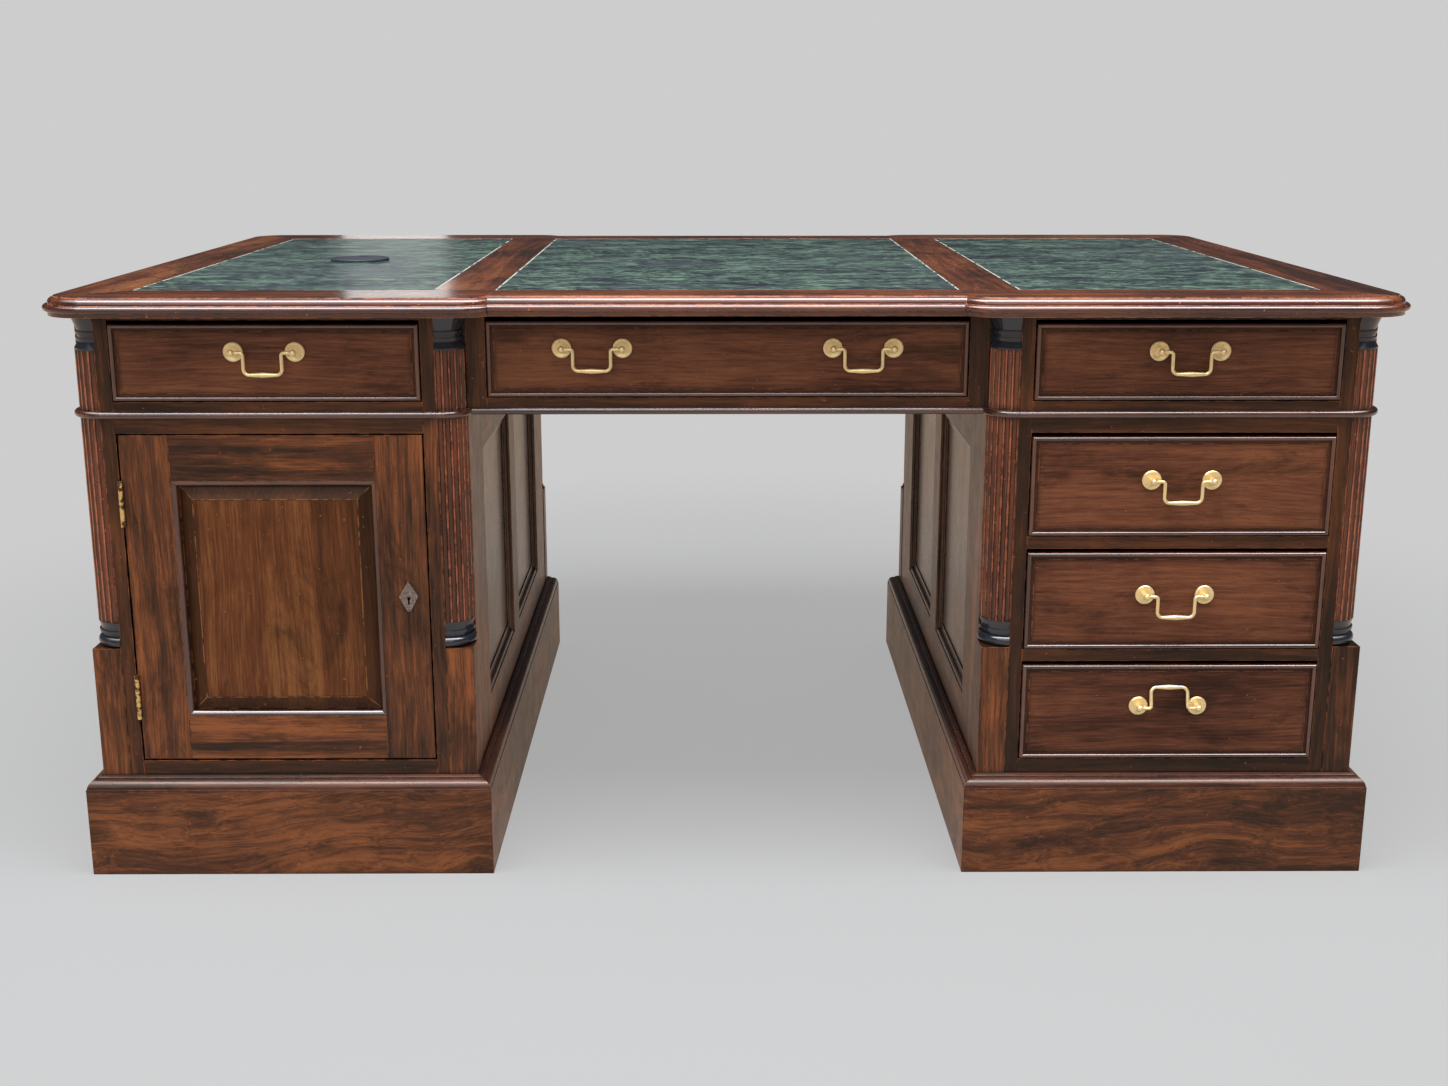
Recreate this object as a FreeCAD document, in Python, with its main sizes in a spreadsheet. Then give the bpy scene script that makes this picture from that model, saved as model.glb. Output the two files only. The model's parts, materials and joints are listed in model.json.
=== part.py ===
import FreeCAD, Part
import math
import os

import Sketcher
from FreeCAD import Placement, Rotation, Vector

# A mahogany breakfront partners desk. Two pedestals stand under a frieze and a leather-lined top.
# +X is to the right of the front user, +Y runs from the front user to the back user, +Z is up.
# The origin is on the floor under the middle. The back is the front turned half round the Z axis.

doc = FreeCAD.newDocument("partners_desk")
sheet = doc.addObject("Spreadsheet::Sheet", "Sizes")
cell_count = 0


class Size:
    """A length that knows both its value and how the sheet's cells give it."""

    def __init__(self, value, text):
        self.value = value
        self.text = text

    @staticmethod
    def of(other):
        return other if isinstance(other, Size) else Size(float(other), repr(float(other)))

    def __add__(self, other):
        other = Size.of(other)
        return Size(self.value + other.value, f"({self.text} + {other.text})")

    def __radd__(self, other):
        return Size.of(other) + self

    def __sub__(self, other):
        other = Size.of(other)
        return Size(self.value - other.value, f"({self.text} - {other.text})")

    def __rsub__(self, other):
        return Size.of(other) - self

    def __mul__(self, other):
        other = Size.of(other)
        return Size(self.value * other.value, f"({self.text} * {other.text})")

    def __rmul__(self, other):
        return self * other

    def __truediv__(self, other):
        other = Size.of(other)
        return Size(self.value / other.value, f"({self.text} / {other.text})")

    def __neg__(self):
        return Size(-self.value, f"(-{self.text})")


def cell(alias, value):
    """Writes one driving dimension, in millimetres, to the sheet."""
    global cell_count
    cell_count += 1
    sheet.set(f"A{cell_count}", alias)
    sheet.set(f"B{cell_count}", str(value))
    sheet.setAlias(f"B{cell_count}", alias)
    return Size(float(value), f"Sizes.{alias}")


# ---- Ways of making a piece ----

HALF_TURN = Rotation(Vector(0, 0, 1), 180)
STAND_UP = Rotation(Vector(1, 0, 0), 90)
LIE_ALONG_X = Rotation(Vector(0, 1, 0), 90)
FACE_RIGHT = Rotation(Vector(0, 0, 1), 90) * STAND_UP
FACE_LEFT = Rotation(Vector(0, 0, 1), -90) * STAND_UP
nodes = []


def spin(degrees):
    """A turn about the upright axis."""
    return Rotation(Vector(0, 0, 1), degrees)


def bind(item, sizes):
    """Ties properties of a document object to the sheet."""
    for name, size in sizes.items():
        item.setExpression(name, Size.of(size).text)
    return item


def place(item, x, y, z, turn=None):
    """Puts a document object at a place that the sheet gives."""
    at = [Size.of(value) for value in (x, y, z)]
    item.Placement = Placement(Vector(*(value.value for value in at)), turn or Rotation())
    for axis, value in zip("xyz", at):
        item.setExpression(f"Placement.Base.{axis}", value.text)
    return item


def block(name, x, y, z):
    """A rectangular board between two values on each axis."""
    item = doc.addObject("Part::Box", name)
    spans = [[Size.of(value) for value in pair] for pair in (x, y, z)]
    bind(item, {side: high - low for side, (low, high) in zip(("Length", "Width", "Height"), spans)})
    return place(item, *[low for low, high in spans])


def rod(name, radius, height, x=0, y=0, z=0, turn=None):
    """A round bar that starts at a point and runs along its own Z axis."""
    item = doc.addObject("Part::Cylinder", name)
    bind(item, {"Radius": radius, "Height": height})
    return place(item, x, y, z, turn)


def cut(name, base, *tools):
    """A piece with one or more others taken out of it."""
    for tool in tools:
        item = doc.addObject("Part::Cut", name)
        item.Base = base
        item.Tool = tool
        base = item
    return base


def common(name, base, tool):
    item = doc.addObject("Part::Common", name)
    item.Base = base
    item.Tool = tool
    return item


def fuse(name, pieces):
    item = doc.addObject("Part::MultiFuse", name)
    item.Shapes = pieces
    item.Refine = True
    return item


def group(name, pieces, x=0, y=0, z=0, turn=None):
    """Separate solids held together in one object, which can stand at a place of its own."""
    item = doc.addObject("Part::Compound", name)
    item.Links = pieces
    return place(item, x, y, z, turn)


def node(label, pieces, x=0, y=0, z=0, turn=None):
    """A named sub-part, which is written to a file."""
    item = group("node_" + label, pieces, x, y, z, turn)
    item.Label = label
    nodes.append(item)


def both(name, pieces):
    """The pieces, and their copy on the other side of the desk."""
    return [group(name + "_here", pieces), group(name + "_there", pieces, turn=HALF_TURN)]


def mirrored(pair):
    """The same span on the other side of a middle plane."""
    low, high = pair
    return (-Size.of(high), -Size.of(low))


def add_sketch(body, name, plane):
    sketch = body.newObject("Sketcher::SketchObject", name)
    origin = next(item for item in body.Origin.OriginFeatures if item.Role == plane + "_Plane")
    sketch.AttachmentSupport = [(origin, "")]
    sketch.MapMode = "FlatFace"
    return sketch


def pin_point(sketch, shape, point, kind, value):
    """Fixes one coordinate of a drawn point at a value that the sheet gives."""
    if value.value == 0:
        axis_line = -2 if kind == "DistanceX" else -1
        sketch.addConstraint(Sketcher.Constraint("PointOnObject", shape, point, axis_line))
        return
    index = sketch.addConstraint(Sketcher.Constraint(kind, -1, 1, shape, point, value.value))
    sketch.setExpression(f"Constraints[{index}]", value.text)


def draw(sketch, corners):
    """Draws a closed outline. A corner is (x, y), or (x, y, centre x, centre y, way) where an arc
    leads on to the next corner, with a way of 1 for anticlockwise and -1 for clockwise."""
    corners = [[Size.of(value) for value in corner] for corner in corners]
    spots = [Vector(corner[0].value, corner[1].value, 0) for corner in corners]
    ends = []
    for index, corner in enumerate(corners):
        start, end = spots[index], spots[(index + 1) % len(spots)]
        if len(corner) == 2:
            sketch.addGeometry(Part.LineSegment(start, end), False)
            ends.append((1, 2))
            continue
        middle = Vector(corner[2].value, corner[3].value, 0)
        forward = corner[4].value > 0
        ends.append((1, 2) if forward else (2, 1))
        first, last = (start, end) if forward else (end, start)
        first_angle = math.atan2(first.y - middle.y, first.x - middle.x)
        last_angle = math.atan2(last.y - middle.y, last.x - middle.x)
        if last_angle <= first_angle:
            last_angle += 2 * math.pi
        circle = Part.Circle(middle, Vector(0, 0, 1), (start - middle).Length)
        sketch.addGeometry(Part.ArcOfCircle(circle, first_angle, last_angle), False)
    for index, corner in enumerate(corners):
        after = (index + 1) % len(corners)
        pin_point(sketch, index, ends[index][0], "DistanceX", corner[0])
        pin_point(sketch, index, ends[index][0], "DistanceY", corner[1])
        sketch.addConstraint(
            Sketcher.Constraint("Coincident", index, ends[index][1], after, ends[after][0]))
        if len(corner) == 5:
            chord = spots[after] - spots[index]
            if abs(chord.y) > abs(chord.x):
                pin_point(sketch, index, 3, "DistanceX", corner[2])
            else:
                pin_point(sketch, index, 3, "DistanceY", corner[3])
    return sketch


def pad(name, plane, corners, length, symmetric=False):
    """A body whose outline is drawn on a plane and padded."""
    body = doc.addObject("PartDesign::Body", name)
    sketch = draw(add_sketch(body, name + "_outline", plane), corners)
    feature = body.newObject("PartDesign::Pad", name + "_pad")
    feature.Profile = sketch
    if symmetric:
        feature.SideType = "Symmetric"
    bind(feature, {"Length": length})
    return body


def turned(name, corners, degrees=360):
    """A body turned about the upright axis from its half outline."""
    body = doc.addObject("PartDesign::Body", name)
    sketch = draw(add_sketch(body, name + "_outline", "XZ"), corners)
    feature = body.newObject("PartDesign::Revolution", name + "_turning")
    feature.Profile = sketch
    feature.ReferenceAxis = (sketch, ["V_Axis"])
    feature.Angle = degrees
    return body


def strip(name, outline, reach, length):
    """A moulding strip along X with mitred ends, centred on the origin. Its outline is drawn across
    it as distances inwards from its long outer edge, up to its reach, and heights."""
    body = pad(name, "YZ", outline, length, symmetric=True)
    for side, word in ((1, "right"), (-1, "left")):
        end = side * length / 2
        sketch = add_sketch(body, f"{name}_mitre_{word}", "XY")
        draw(sketch, [(end, 0), (end, reach), (end - side * reach, reach)])
        feature = body.newObject("PartDesign::Pocket", f"{name}_mitre_cut_{word}")
        feature.Profile = sketch
        feature.SideType = "Symmetric"
        feature.Type = "ThroughAll"
    return body


def strip_frame(name, outline, reach, wide, deep):
    """Four mitred strips round a rectangle that lies flat, centred on the origin."""
    along = strip(name + "_long", outline, reach, wide)
    across = strip(name + "_short", outline, reach, deep)
    return [
        group(name + "_near", [along], 0, -deep / 2, 0),
        group(name + "_far", [along], 0, deep / 2, 0, HALF_TURN),
        group(name + "_left", [across], -wide / 2, 0, 0, spin(-90)),
        group(name + "_right", [across], wide / 2, 0, 0, spin(90)),
    ]


# ---- The top: moulded rails, dividers and cores under three leather panels ----

desk_height = cell("desk_height", 777)
top_thick = cell("top_thick", 24.5)
top_half_long = cell("top_half_long", 861)
top_half_deep = cell("top_half_deep", 556)
top_corner = cell("top_corner", 62)
top_inner = cell("top_inner", 341)
top_recess = cell("top_recess", 22)
recess = cell("recess", 32)
quirk = cell("quirk", 1.5)
ovolo = cell("ovolo", 7)
ledge = cell("ledge", 2)
nose = cell("nose", 4.5)
strip_back = cell("strip_back", 6)
body_in = cell("body_in", 336)
body_out = cell("body_out", 836)
body_deep = cell("body_deep", 505)
column_round = cell("column_round", 36)
leather_thick = cell("leather_thick", 1.4)
leather_drop = cell("leather_drop", 0.3)
leather_deep = cell("leather_deep", 450)
leather_out = cell("leather_out", 766)
leather_in = cell("leather_in", 375)
leather_mid = cell("leather_mid", 300)
grommet_x = cell("grommet_x", 560)
grommet_hole = cell("grommet_hole", 40)

top_under = desk_height - top_thick
edge_reach = ovolo + ledge + nose
column_in = body_in + column_round
column_out = body_out - column_round
column_line = body_deep - column_round
corner_flat = top_corner - edge_reach
corner_out = top_half_long - top_corner
corner_line = top_half_deep - top_corner
ovolo_level = desk_height - quirk - ovolo
bead_level = ovolo_level - quirk
bead_start = corner_flat + ovolo + ledge
edge_outline = [
    (0, top_under),
    (0, desk_height),
    (corner_flat, desk_height),
    (corner_flat, ovolo_level + ovolo, corner_flat, ovolo_level, -1),
    (corner_flat + ovolo, ovolo_level),
    (corner_flat + ovolo, bead_level),
    (bead_start, bead_level, bead_start, bead_level - nose, -1),
    (bead_start, bead_level - 2 * nose),
    (top_corner - strip_back, bead_level - 2 * nose),
    (top_corner - strip_back, top_under),
]
centre_line = corner_line - top_recess
side_middle = (top_inner + corner_out) / 2
top_height = (top_under, desk_height)
side_edge = pad("side_edge", "YZ", edge_outline, corner_out - top_inner, symmetric=True)
end_edge = pad("end_edge", "YZ", edge_outline, 2 * corner_line, symmetric=True)
centre_edge = pad("centre_edge", "YZ", edge_outline, 2 * top_inner, symmetric=True)
top_corner_turning = turned("top_corner_turning", edge_outline, 90)
moulded_top = fuse("moulded_top", [
    block("side_blank", (top_inner, corner_out), (-corner_line, corner_line), top_height),
    block("middle_blank", (-top_inner, top_inner), (-centre_line, centre_line), top_height),
    group("side_edge_front", [side_edge], side_middle, -corner_line, 0, HALF_TURN),
    group("side_edge_back", [side_edge], side_middle, corner_line, 0),
    group("end_edge_right", [end_edge], corner_out, 0, 0, spin(-90)),
    group("centre_edge_front", [centre_edge], 0, -centre_line, 0, HALF_TURN),
    group("centre_edge_back", [centre_edge], 0, centre_line, 0),
    group("top_corner_1", [top_corner_turning], corner_out, corner_line, 0),
    group("top_corner_2", [top_corner_turning], top_inner, corner_line, 0, spin(90)),
    group("top_corner_3", [top_corner_turning], top_inner, -corner_line, 0, HALF_TURN),
    group("top_corner_4", [top_corner_turning], corner_out, -corner_line, 0, spin(-90)),
])

# The rails meet on mitres that run out through the corners of the leather.

far_x = 2 * top_half_long - leather_out
far_y = 2 * top_half_deep - leather_deep
rail_plan = [
    (leather_mid, -leather_deep),
    (leather_mid, -far_y),
    (far_x, -far_y),
    (leather_out, -leather_deep),
]
end_plan = [
    (leather_out, -leather_deep),
    (far_x, -far_y),
    (far_x, far_y),
    (leather_out, leather_deep),
]
leather_span = (-leather_deep, leather_deep)
core_height = (top_under, desk_height - leather_drop - leather_thick)
front_blank = pad("front_rail_blank", "XY", rail_plan, desk_height)
back_blank = pad("back_rail_blank", "XY", [(x, -y) for x, y in reversed(rail_plan)], desk_height)
end_blank = pad("end_rail_blank", "XY", end_plan, desk_height)
middle_run = (-leather_mid, leather_mid)
middle_blank = block("centre_rail_blank", middle_run, (-far_y, -leather_deep), top_height)
left_core = block("left_core", (-leather_out, -leather_in), leather_span, core_height)
grommet_drill = rod("grommet_drill", grommet_hole, desk_height, -grommet_x)
node("desktop_frame", both("top_boards", [
    common("side_front_rail", moulded_top, front_blank),
    common("side_back_rail", moulded_top, back_blank),
    common("end_rail", moulded_top, end_blank),
    common("centre_rail", moulded_top, middle_blank),
    block("divider", (leather_mid, leather_in), leather_span, top_height),
]) + [
    block("right_core", (leather_in, leather_out), leather_span, core_height),
    block("middle_core", middle_run, leather_span, core_height),
    cut("left_core_drilled", left_core, grommet_drill),
])

leather_height = (core_height[1], core_height[1] + leather_thick)
left_leather = block("left_leather", (-leather_out, -leather_in), leather_span, leather_height)
node("leather_panels", [
    block("right_leather", (leather_in, leather_out), leather_span, leather_height),
    block("middle_leather", middle_run, leather_span, leather_height),
    cut("left_leather_drilled", left_leather, grommet_drill),
])

# ---- The cable grommet: a flanged tube let into the left of the top, and a lid that turns in it ----

grommet_rim = cell("grommet_rim", 44)
grommet_bore = cell("grommet_bore", 38)
grommet_seat = cell("grommet_seat", 34)
grommet_proud = cell("grommet_proud", 4)
grommet_edge = cell("grommet_edge", 1)
grommet_play = cell("grommet_play", 0.4)
notch_half = cell("notch_half", 6)
notch_deep = cell("notch_deep", 12)

grommet_top = leather_height[1] + grommet_proud
grommet_wall = grommet_hole - grommet_play
lid_floor = desk_height + grommet_play
lid_round = grommet_bore - grommet_play
node("grommet_liner", [turned("liner", [
    (grommet_seat, top_under),
    (grommet_seat, desk_height),
    (grommet_bore, desk_height),
    (grommet_bore, grommet_top),
    (grommet_rim - grommet_edge, grommet_top),
    (grommet_rim, grommet_top - grommet_edge),
    (grommet_rim, leather_height[1]),
    (grommet_wall, leather_height[1]),
    (grommet_wall, top_under),
])], -grommet_x)
lid = turned("lid", [
    (0, lid_floor),
    (0, grommet_top),
    (lid_round - grommet_edge, grommet_top),
    (lid_round, grommet_top - grommet_edge),
    (lid_round, lid_floor),
])
cable_notch = block("cable_notch", (-notch_half, notch_half), (lid_round - notch_deep, grommet_rim),
                    (top_under, desk_height + grommet_rim))
node("grommet_cap", [cut("notched_lid", lid, cable_notch)], -grommet_x)

# ---- The frieze: the rail box that ties the pedestals together and holds six drawers ----

board = cell("board", 20)
post_deep = cell("post_deep", 72)
rail_deep = cell("rail_deep", 40)
opening_in = cell("opening_in", 389.5)
opening_out = cell("opening_out", 782.5)
opening_mid = cell("opening_mid", 311)
case_top = cell("case_top", 619.5)
frieze_low = cell("frieze_low", 641)
frieze_high = cell("frieze_high", 745)
middle_half = cell("middle_half", 6)
ceiling_thick = cell("ceiling_thick", 7.5)
guide_high = cell("guide_high", 28)

frieze_height = (case_top, top_under)
inner_board = (body_in, body_in + board)
outer_board = (body_out - board, body_out)
inner_stile = (column_in, opening_in)
outer_stile = (opening_out, column_out)
inner_ledge = (inner_board[1], opening_in)
outer_ledge = (opening_out, outer_board[0])
opening_width = (opening_in, opening_out)
post_back = body_deep - post_deep
front_post = (-body_deep, -post_back)
front_filler = (-column_line, -post_back)
front_rail = (-body_deep, rail_deep - body_deep)
centre_face = body_deep - recess
centre_post = (-centre_face, rail_deep - centre_face)
side_run = (-post_back, -middle_half)
between_posts = (-post_back, post_back)
between_columns = (-column_line, column_line)
frieze_opening = (frieze_low, frieze_high)
low_rail = (case_top, frieze_low)
high_rail = (frieze_high, top_under)


def four_posts(name, height):
    """Stiles beside the openings of a pedestal, front and back, with fillers behind the columns."""
    pieces = []
    for where, deep in (("front", front_post), ("back", mirrored(front_post))):
        pieces.append(block(f"{name}_{where}_inner_stile", inner_stile, deep, height))
        pieces.append(block(f"{name}_{where}_outer_stile", outer_stile, deep, height))
    for where, deep in (("front", front_filler), ("back", mirrored(front_filler))):
        pieces.append(block(f"{name}_{where}_inner_filler", (inner_board[1], column_in), deep, height))
        pieces.append(block(f"{name}_{where}_outer_filler", (column_out, outer_board[0]), deep, height))
    return pieces


def ledges(name, height, inner=inner_ledge, outer=outer_ledge, run=between_posts):
    """Strips along the two sides of a pedestal."""
    return [block(name + "_inner", inner, run, height), block(name + "_outer", outer, run, height)]


frieze_boards = four_posts("frieze", frieze_height) + [
    block("frieze_end", outer_board, between_columns, frieze_height),
    block("frieze_partition", inner_board, between_columns, frieze_height),
    block("frieze_stiffener", (inner_board[1], outer_board[0]), (-middle_half, middle_half), frieze_height),
    block("frieze_front_low_rail", opening_width, front_rail, low_rail),
    block("frieze_front_high_rail", opening_width, front_rail, high_rail),
    block("frieze_back_low_rail", opening_width, mirrored(front_rail), low_rail),
    block("frieze_back_high_rail", opening_width, mirrored(front_rail), high_rail),
    block("centre_stile_right", (opening_mid, body_in), centre_post, frieze_height),
    block("centre_stile_left", (-body_in, -opening_mid), centre_post, frieze_height),
    block("centre_low_rail", (-opening_mid, opening_mid), centre_post, low_rail),
    block("centre_high_rail", (-opening_mid, opening_mid), centre_post, high_rail),
]
centre_inside = (centre_post[1], -centre_post[1])
ceiling_height = (case_top, case_top + ceiling_thick)
node("frieze_frame", both("frieze", frieze_boards) + [
    block("kneehole_ceiling", (-body_in, body_in), centre_inside, ceiling_height),
    block("centre_stiffener", (-body_in, body_in), (-middle_half, middle_half),
          (ceiling_height[1], top_under)),
])

# ---- The quarter columns at the corners: a fluted shaft above and below the astragal ----

plinth_top = cell("plinth_top", 119)
block_top = cell("block_top", 312.7)
block_proud = cell("block_proud", 1)
base_high = cell("base_high", 34.3)
capital_low = cell("capital_low", 706)
bead_high = cell("bead_high", 9.5)
bead_fillet = cell("bead_fillet", 2)
flute_round = cell("flute_round", 3.6)
flute_count = 6
flute_pitch = 90 / flute_count


def quarter_outline(radius):
    """A quarter of a round plan, with its centre at the origin."""
    return [(0, 0), (radius, 0, 0, 0, 1), (0, radius)]


def fluted_shaft(name, height):
    """A quarter of a round shaft, with flutes cut along it."""
    body = pad(name, "XY", quarter_outline(column_round), height)
    doc.recompute()
    sketch = add_sketch(body, name + "_flute", "XY")
    start = math.radians(flute_pitch / 2)
    reach = column_round + flute_round / 8
    centre = (reach * math.cos(start), reach * math.sin(start))
    spot = Vector(centre[0].value, centre[1].value, 0)
    sketch.addGeometry(Part.Circle(spot, Vector(0, 0, 1), flute_round.value), False)
    pin_point(sketch, 0, 3, "DistanceX", centre[0])
    pin_point(sketch, 0, 3, "DistanceY", centre[1])
    radius = sketch.addConstraint(Sketcher.Constraint("Radius", 0, flute_round.value))
    sketch.setExpression(f"Constraints[{radius}]", flute_round.text)
    flute = body.newObject("PartDesign::Pocket", name + "_flute_cut")
    flute.Profile = sketch
    flute.SideType = "Symmetric"
    flute.Type = "ThroughAll"
    row = body.newObject("PartDesign::PolarPattern", name + "_flutes")
    row.Originals = [flute]
    row.Axis = (sketch, ["N_Axis"])
    row.Angle = 90 - flute_pitch
    row.Occurrences = flute_count
    body.Tip = row
    return body


def at_corners(name, pieces, z):
    """The pieces, centred on the origin, put on the four corners of a pedestal."""
    return [
        group(name + "_1", pieces, column_out, column_line, z),
        group(name + "_2", pieces, column_in, column_line, z, spin(90)),
        group(name + "_3", pieces, column_in, -column_line, z, HALF_TURN),
        group(name + "_4", pieces, column_out, -column_line, z, spin(-90)),
    ]


upper_low = case_top + bead_high
lower_low = block_top + base_high
upper_shaft = fluted_shaft("upper_shaft", capital_low - upper_low)
lower_shaft = fluted_shaft("lower_shaft", case_top - lower_low)
node("fluted_columns", both("shafts", at_corners("upper", [upper_shaft], upper_low)
                            + at_corners("lower", [lower_shaft], lower_low)))

# The black turned capitals and bases.

bell_high = cell("bell_high", 10)
neck_round = cell("neck_round", 31.5)
ring_round = cell("ring_round", 33.5)
ring_high = cell("ring_high", 4)
cap_round = cell("cap_round", 39)
cap_edge = cell("cap_edge", 5)
torus_high = cell("torus_high", 14.5)

ring_one = bell_high + ring_high / 4
ring_two = ring_one + 2 * ring_high
flare_low = ring_two + 5 * ring_high / 4
flare_high = top_under - capital_low - cap_edge
capital = turned("capital", [
    (0, 0),
    (column_round, 0),
    (column_round, bead_fillet),
    (neck_round, bell_high),
    (neck_round, ring_one),
    (ring_round, ring_one),
    (ring_round, ring_one + ring_high),
    (neck_round, ring_one + ring_high),
    (neck_round, ring_two),
    (ring_round, ring_two),
    (ring_round, ring_two + ring_high),
    (neck_round, ring_two + ring_high),
    (neck_round, flare_low),
    (cap_round - ledge / 2, flare_high),
    (cap_round, flare_high),
    (cap_round, top_under - capital_low),
    (0, top_under - capital_low),
], 90)
torus_half = torus_high / 2
torus_line = cap_round - ledge / 2 - torus_half
base_ring = torus_high + 2 * ledge
cavetto = base_high - base_ring - ring_high - 2 * ledge
base_turning = turned("base_turning", [
    (0, 0),
    (torus_line, 0, torus_line, torus_half, 1),
    (torus_line, torus_high),
    (ring_round - ledge, torus_high),
    (ring_round - ledge, base_ring),
    (ring_round + ledge, base_ring),
    (ring_round + ledge, base_ring + ring_high),
    (ring_round, base_ring + ring_high),
    (ring_round, base_high - cavetto),
    (column_round, base_high),
    (0, base_high),
], 90)
capitals = at_corners("capital", [capital], capital_low)
inner_edge = (column_in - cap_round, body_in)
cope_height = (capital_low, top_under)
for index, span in ((1, (column_line, centre_face)), (2, (-centre_face, -column_line))):
    cope = block(f"capital_cope_{index}", inner_edge, span, cope_height)
    capitals[index] = cut(f"capital_{index}_coped", capitals[index], cope)
node("column_turnings", both("turnings", capitals + at_corners("base", [base_turning], block_top)))

# ---- The astragal: a bead that runs round under the frieze ----

bead_round = bead_high / 2
bead_outline = [
    (0, 0),
    (bead_fillet, 0, bead_fillet, bead_round, 1),
    (bead_fillet, bead_high),
    (0, bead_high),
]
collar_outline = [
    (0, 0),
    (column_round + bead_fillet, 0, column_round + bead_fillet, bead_round, 1),
    (column_round + bead_fillet, bead_high),
    (0, bead_high),
]
bead_reach = bead_fillet + bead_round
front_bead = pad("front_bead", "YZ", bead_outline, column_out - column_in, symmetric=True)
side_bead = pad("side_bead", "YZ", bead_outline, 2 * column_line, symmetric=True)
centre_bead = pad("centre_bead", "YZ", bead_outline, 2 * body_in, symmetric=True)
collar = turned("collar", collar_outline, 90)
bead_side = (column_in + column_out) / 2
bead_span = (case_top, case_top + bead_high)
collars = at_corners("collar", [collar], case_top)
inner_edge = (column_in - column_round - bead_reach, body_in)
cope_front = block("cope_front", inner_edge, (-centre_face, -column_line), bead_span)
cope_back = block("cope_back", inner_edge, (column_line, centre_face), bead_span)
centre_bead_front = group("centre_bead_front", [centre_bead], 0, -centre_face, case_top, HALF_TURN)
cope_round = column_round + bead_reach
cope_right = rod("cope_right", cope_round, desk_height, column_in, -column_line)
cope_left = rod("cope_left", cope_round, desk_height, -column_in, -column_line)
node("astragal", both("beads", [
    group("bead_front", [front_bead], bead_side, -body_deep, case_top, HALF_TURN),
    group("bead_back", [front_bead], bead_side, body_deep, case_top),
    group("bead_end", [side_bead], body_out, 0, case_top, spin(-90)),
    collars[0],
    cut("collar_back_coped", collars[1], cope_back),
    cut("collar_front_coped", collars[2], cope_front),
    collars[3],
    cut("centre_bead_coped", centre_bead_front, cope_right, cope_left),
]))

# ---- The pedestals: posts, panelled sides, rails and boards ----

bottom_rail = cell("bottom_rail", 37)
top_rail = cell("top_rail", 19.5)
bottom_thick = cell("bottom_thick", 18)
dust_thick = cell("dust_thick", 12)
drawer_rail = cell("drawer_rail", 16.5)
drawer_rail_deep = cell("drawer_rail_deep", 60)
panel_end = cell("panel_end", 345)
muntin_half = cell("muntin_half", 32)
panel_low = cell("panel_low", 191)
panel_high = cell("panel_high", 551)
lock_level = cell("lock_level", 381)
bolt_high = cell("bolt_high", 20)
mortise_play = cell("mortise_play", 1)
bolt_line = cell("bolt_line", 16)
bolt_wide = cell("bolt_wide", 5)

case_low = plinth_top + bottom_rail
case_high = case_top - top_rail
case_height = (plinth_top, case_top)
opening_pitch = (case_high - case_low + drawer_rail) / 3
drawer_space = opening_pitch - drawer_rail
inside = (rail_deep - body_deep, body_deep - rail_deep)
bottom_height = (plinth_top, plinth_top + bottom_thick)
dust_height = (case_top - dust_thick, case_top)


def panelled_side(name, across):
    """Stiles, a muntin and two rails that leave two openings."""
    end_stile = (panel_end, column_line)
    rail_run = (-panel_end, panel_end)
    between = (panel_low, panel_high)
    return [
        block(name + "_front_stile", across, mirrored(end_stile), case_height),
        block(name + "_back_stile", across, end_stile, case_height),
        block(name + "_bottom_rail", across, rail_run, (plinth_top, panel_low)),
        block(name + "_top_rail", across, rail_run, (panel_high, case_top)),
        block(name + "_muntin", across, (-muntin_half, muntin_half), between),
    ]


# The stile that takes the lock's bolt is laid up from four pieces, which leave a mortise between them.

case_posts = four_posts("case", case_height)
bolt_back = body_deep - bolt_line - bolt_wide / 2
mortise_deep = (bolt_back - mortise_play, bolt_back + bolt_wide + mortise_play)
mortise_half = bolt_high / 2 + 2 * mortise_play
case_posts[2:3] = [
    block("lock_stile_face", inner_stile, (mortise_deep[1], body_deep), case_height),
    block("lock_stile_back", inner_stile, (post_back, mortise_deep[0]), case_height),
    block("lock_stile_low", inner_stile, mortise_deep, (plinth_top, lock_level - mortise_half)),
    block("lock_stile_high", inner_stile, mortise_deep, (lock_level + mortise_half, case_top)),
]
corner_block = block("corner_block", (0, column_round + block_proud), (0, column_round + block_proud),
                     (0, block_top - plinth_top))
case_boards = case_posts + panelled_side("inner_side", inner_board) + panelled_side(
    "outer_side", outer_board) + at_corners("corner_block", [corner_block], plinth_top) + ledges(
    "bottom_ledge", bottom_height) + ledges("dust_ledge", dust_height) + [
    block("case_bottom", opening_width, inside, bottom_height),
    block("case_dust_board", opening_width, inside, dust_height),
    block("case_divider", (inner_board[1], outer_board[0]), (-middle_half, middle_half),
          (bottom_height[1], dust_height[0])),
    block("front_bottom_rail", opening_width, front_rail, (plinth_top, case_low)),
    block("front_top_rail", opening_width, front_rail, (case_high, case_top)),
    block("back_bottom_rail", opening_width, mirrored(front_rail), (plinth_top, case_low)),
    block("back_top_rail", opening_width, mirrored(front_rail), (case_high, case_top)),
]
for step in (1, 2):
    rail_top = case_low + step * opening_pitch
    case_boards.append(block(
        f"drawer_rail_{step}", opening_width, (-body_deep, drawer_rail_deep - body_deep),
        (rail_top - drawer_rail, rail_top)))
node("right_pedestal_case", case_boards)
node("left_pedestal_case", case_boards, turn=HALF_TURN)

# ---- The side panels, let in behind dark mouldings ----

panel_set_back = cell("panel_set_back", 10)
panel_thick = cell("panel_thick", 8)
panel_trim = cell("panel_trim", 18)
trim_fillet = cell("trim_fillet", 2)

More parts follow.
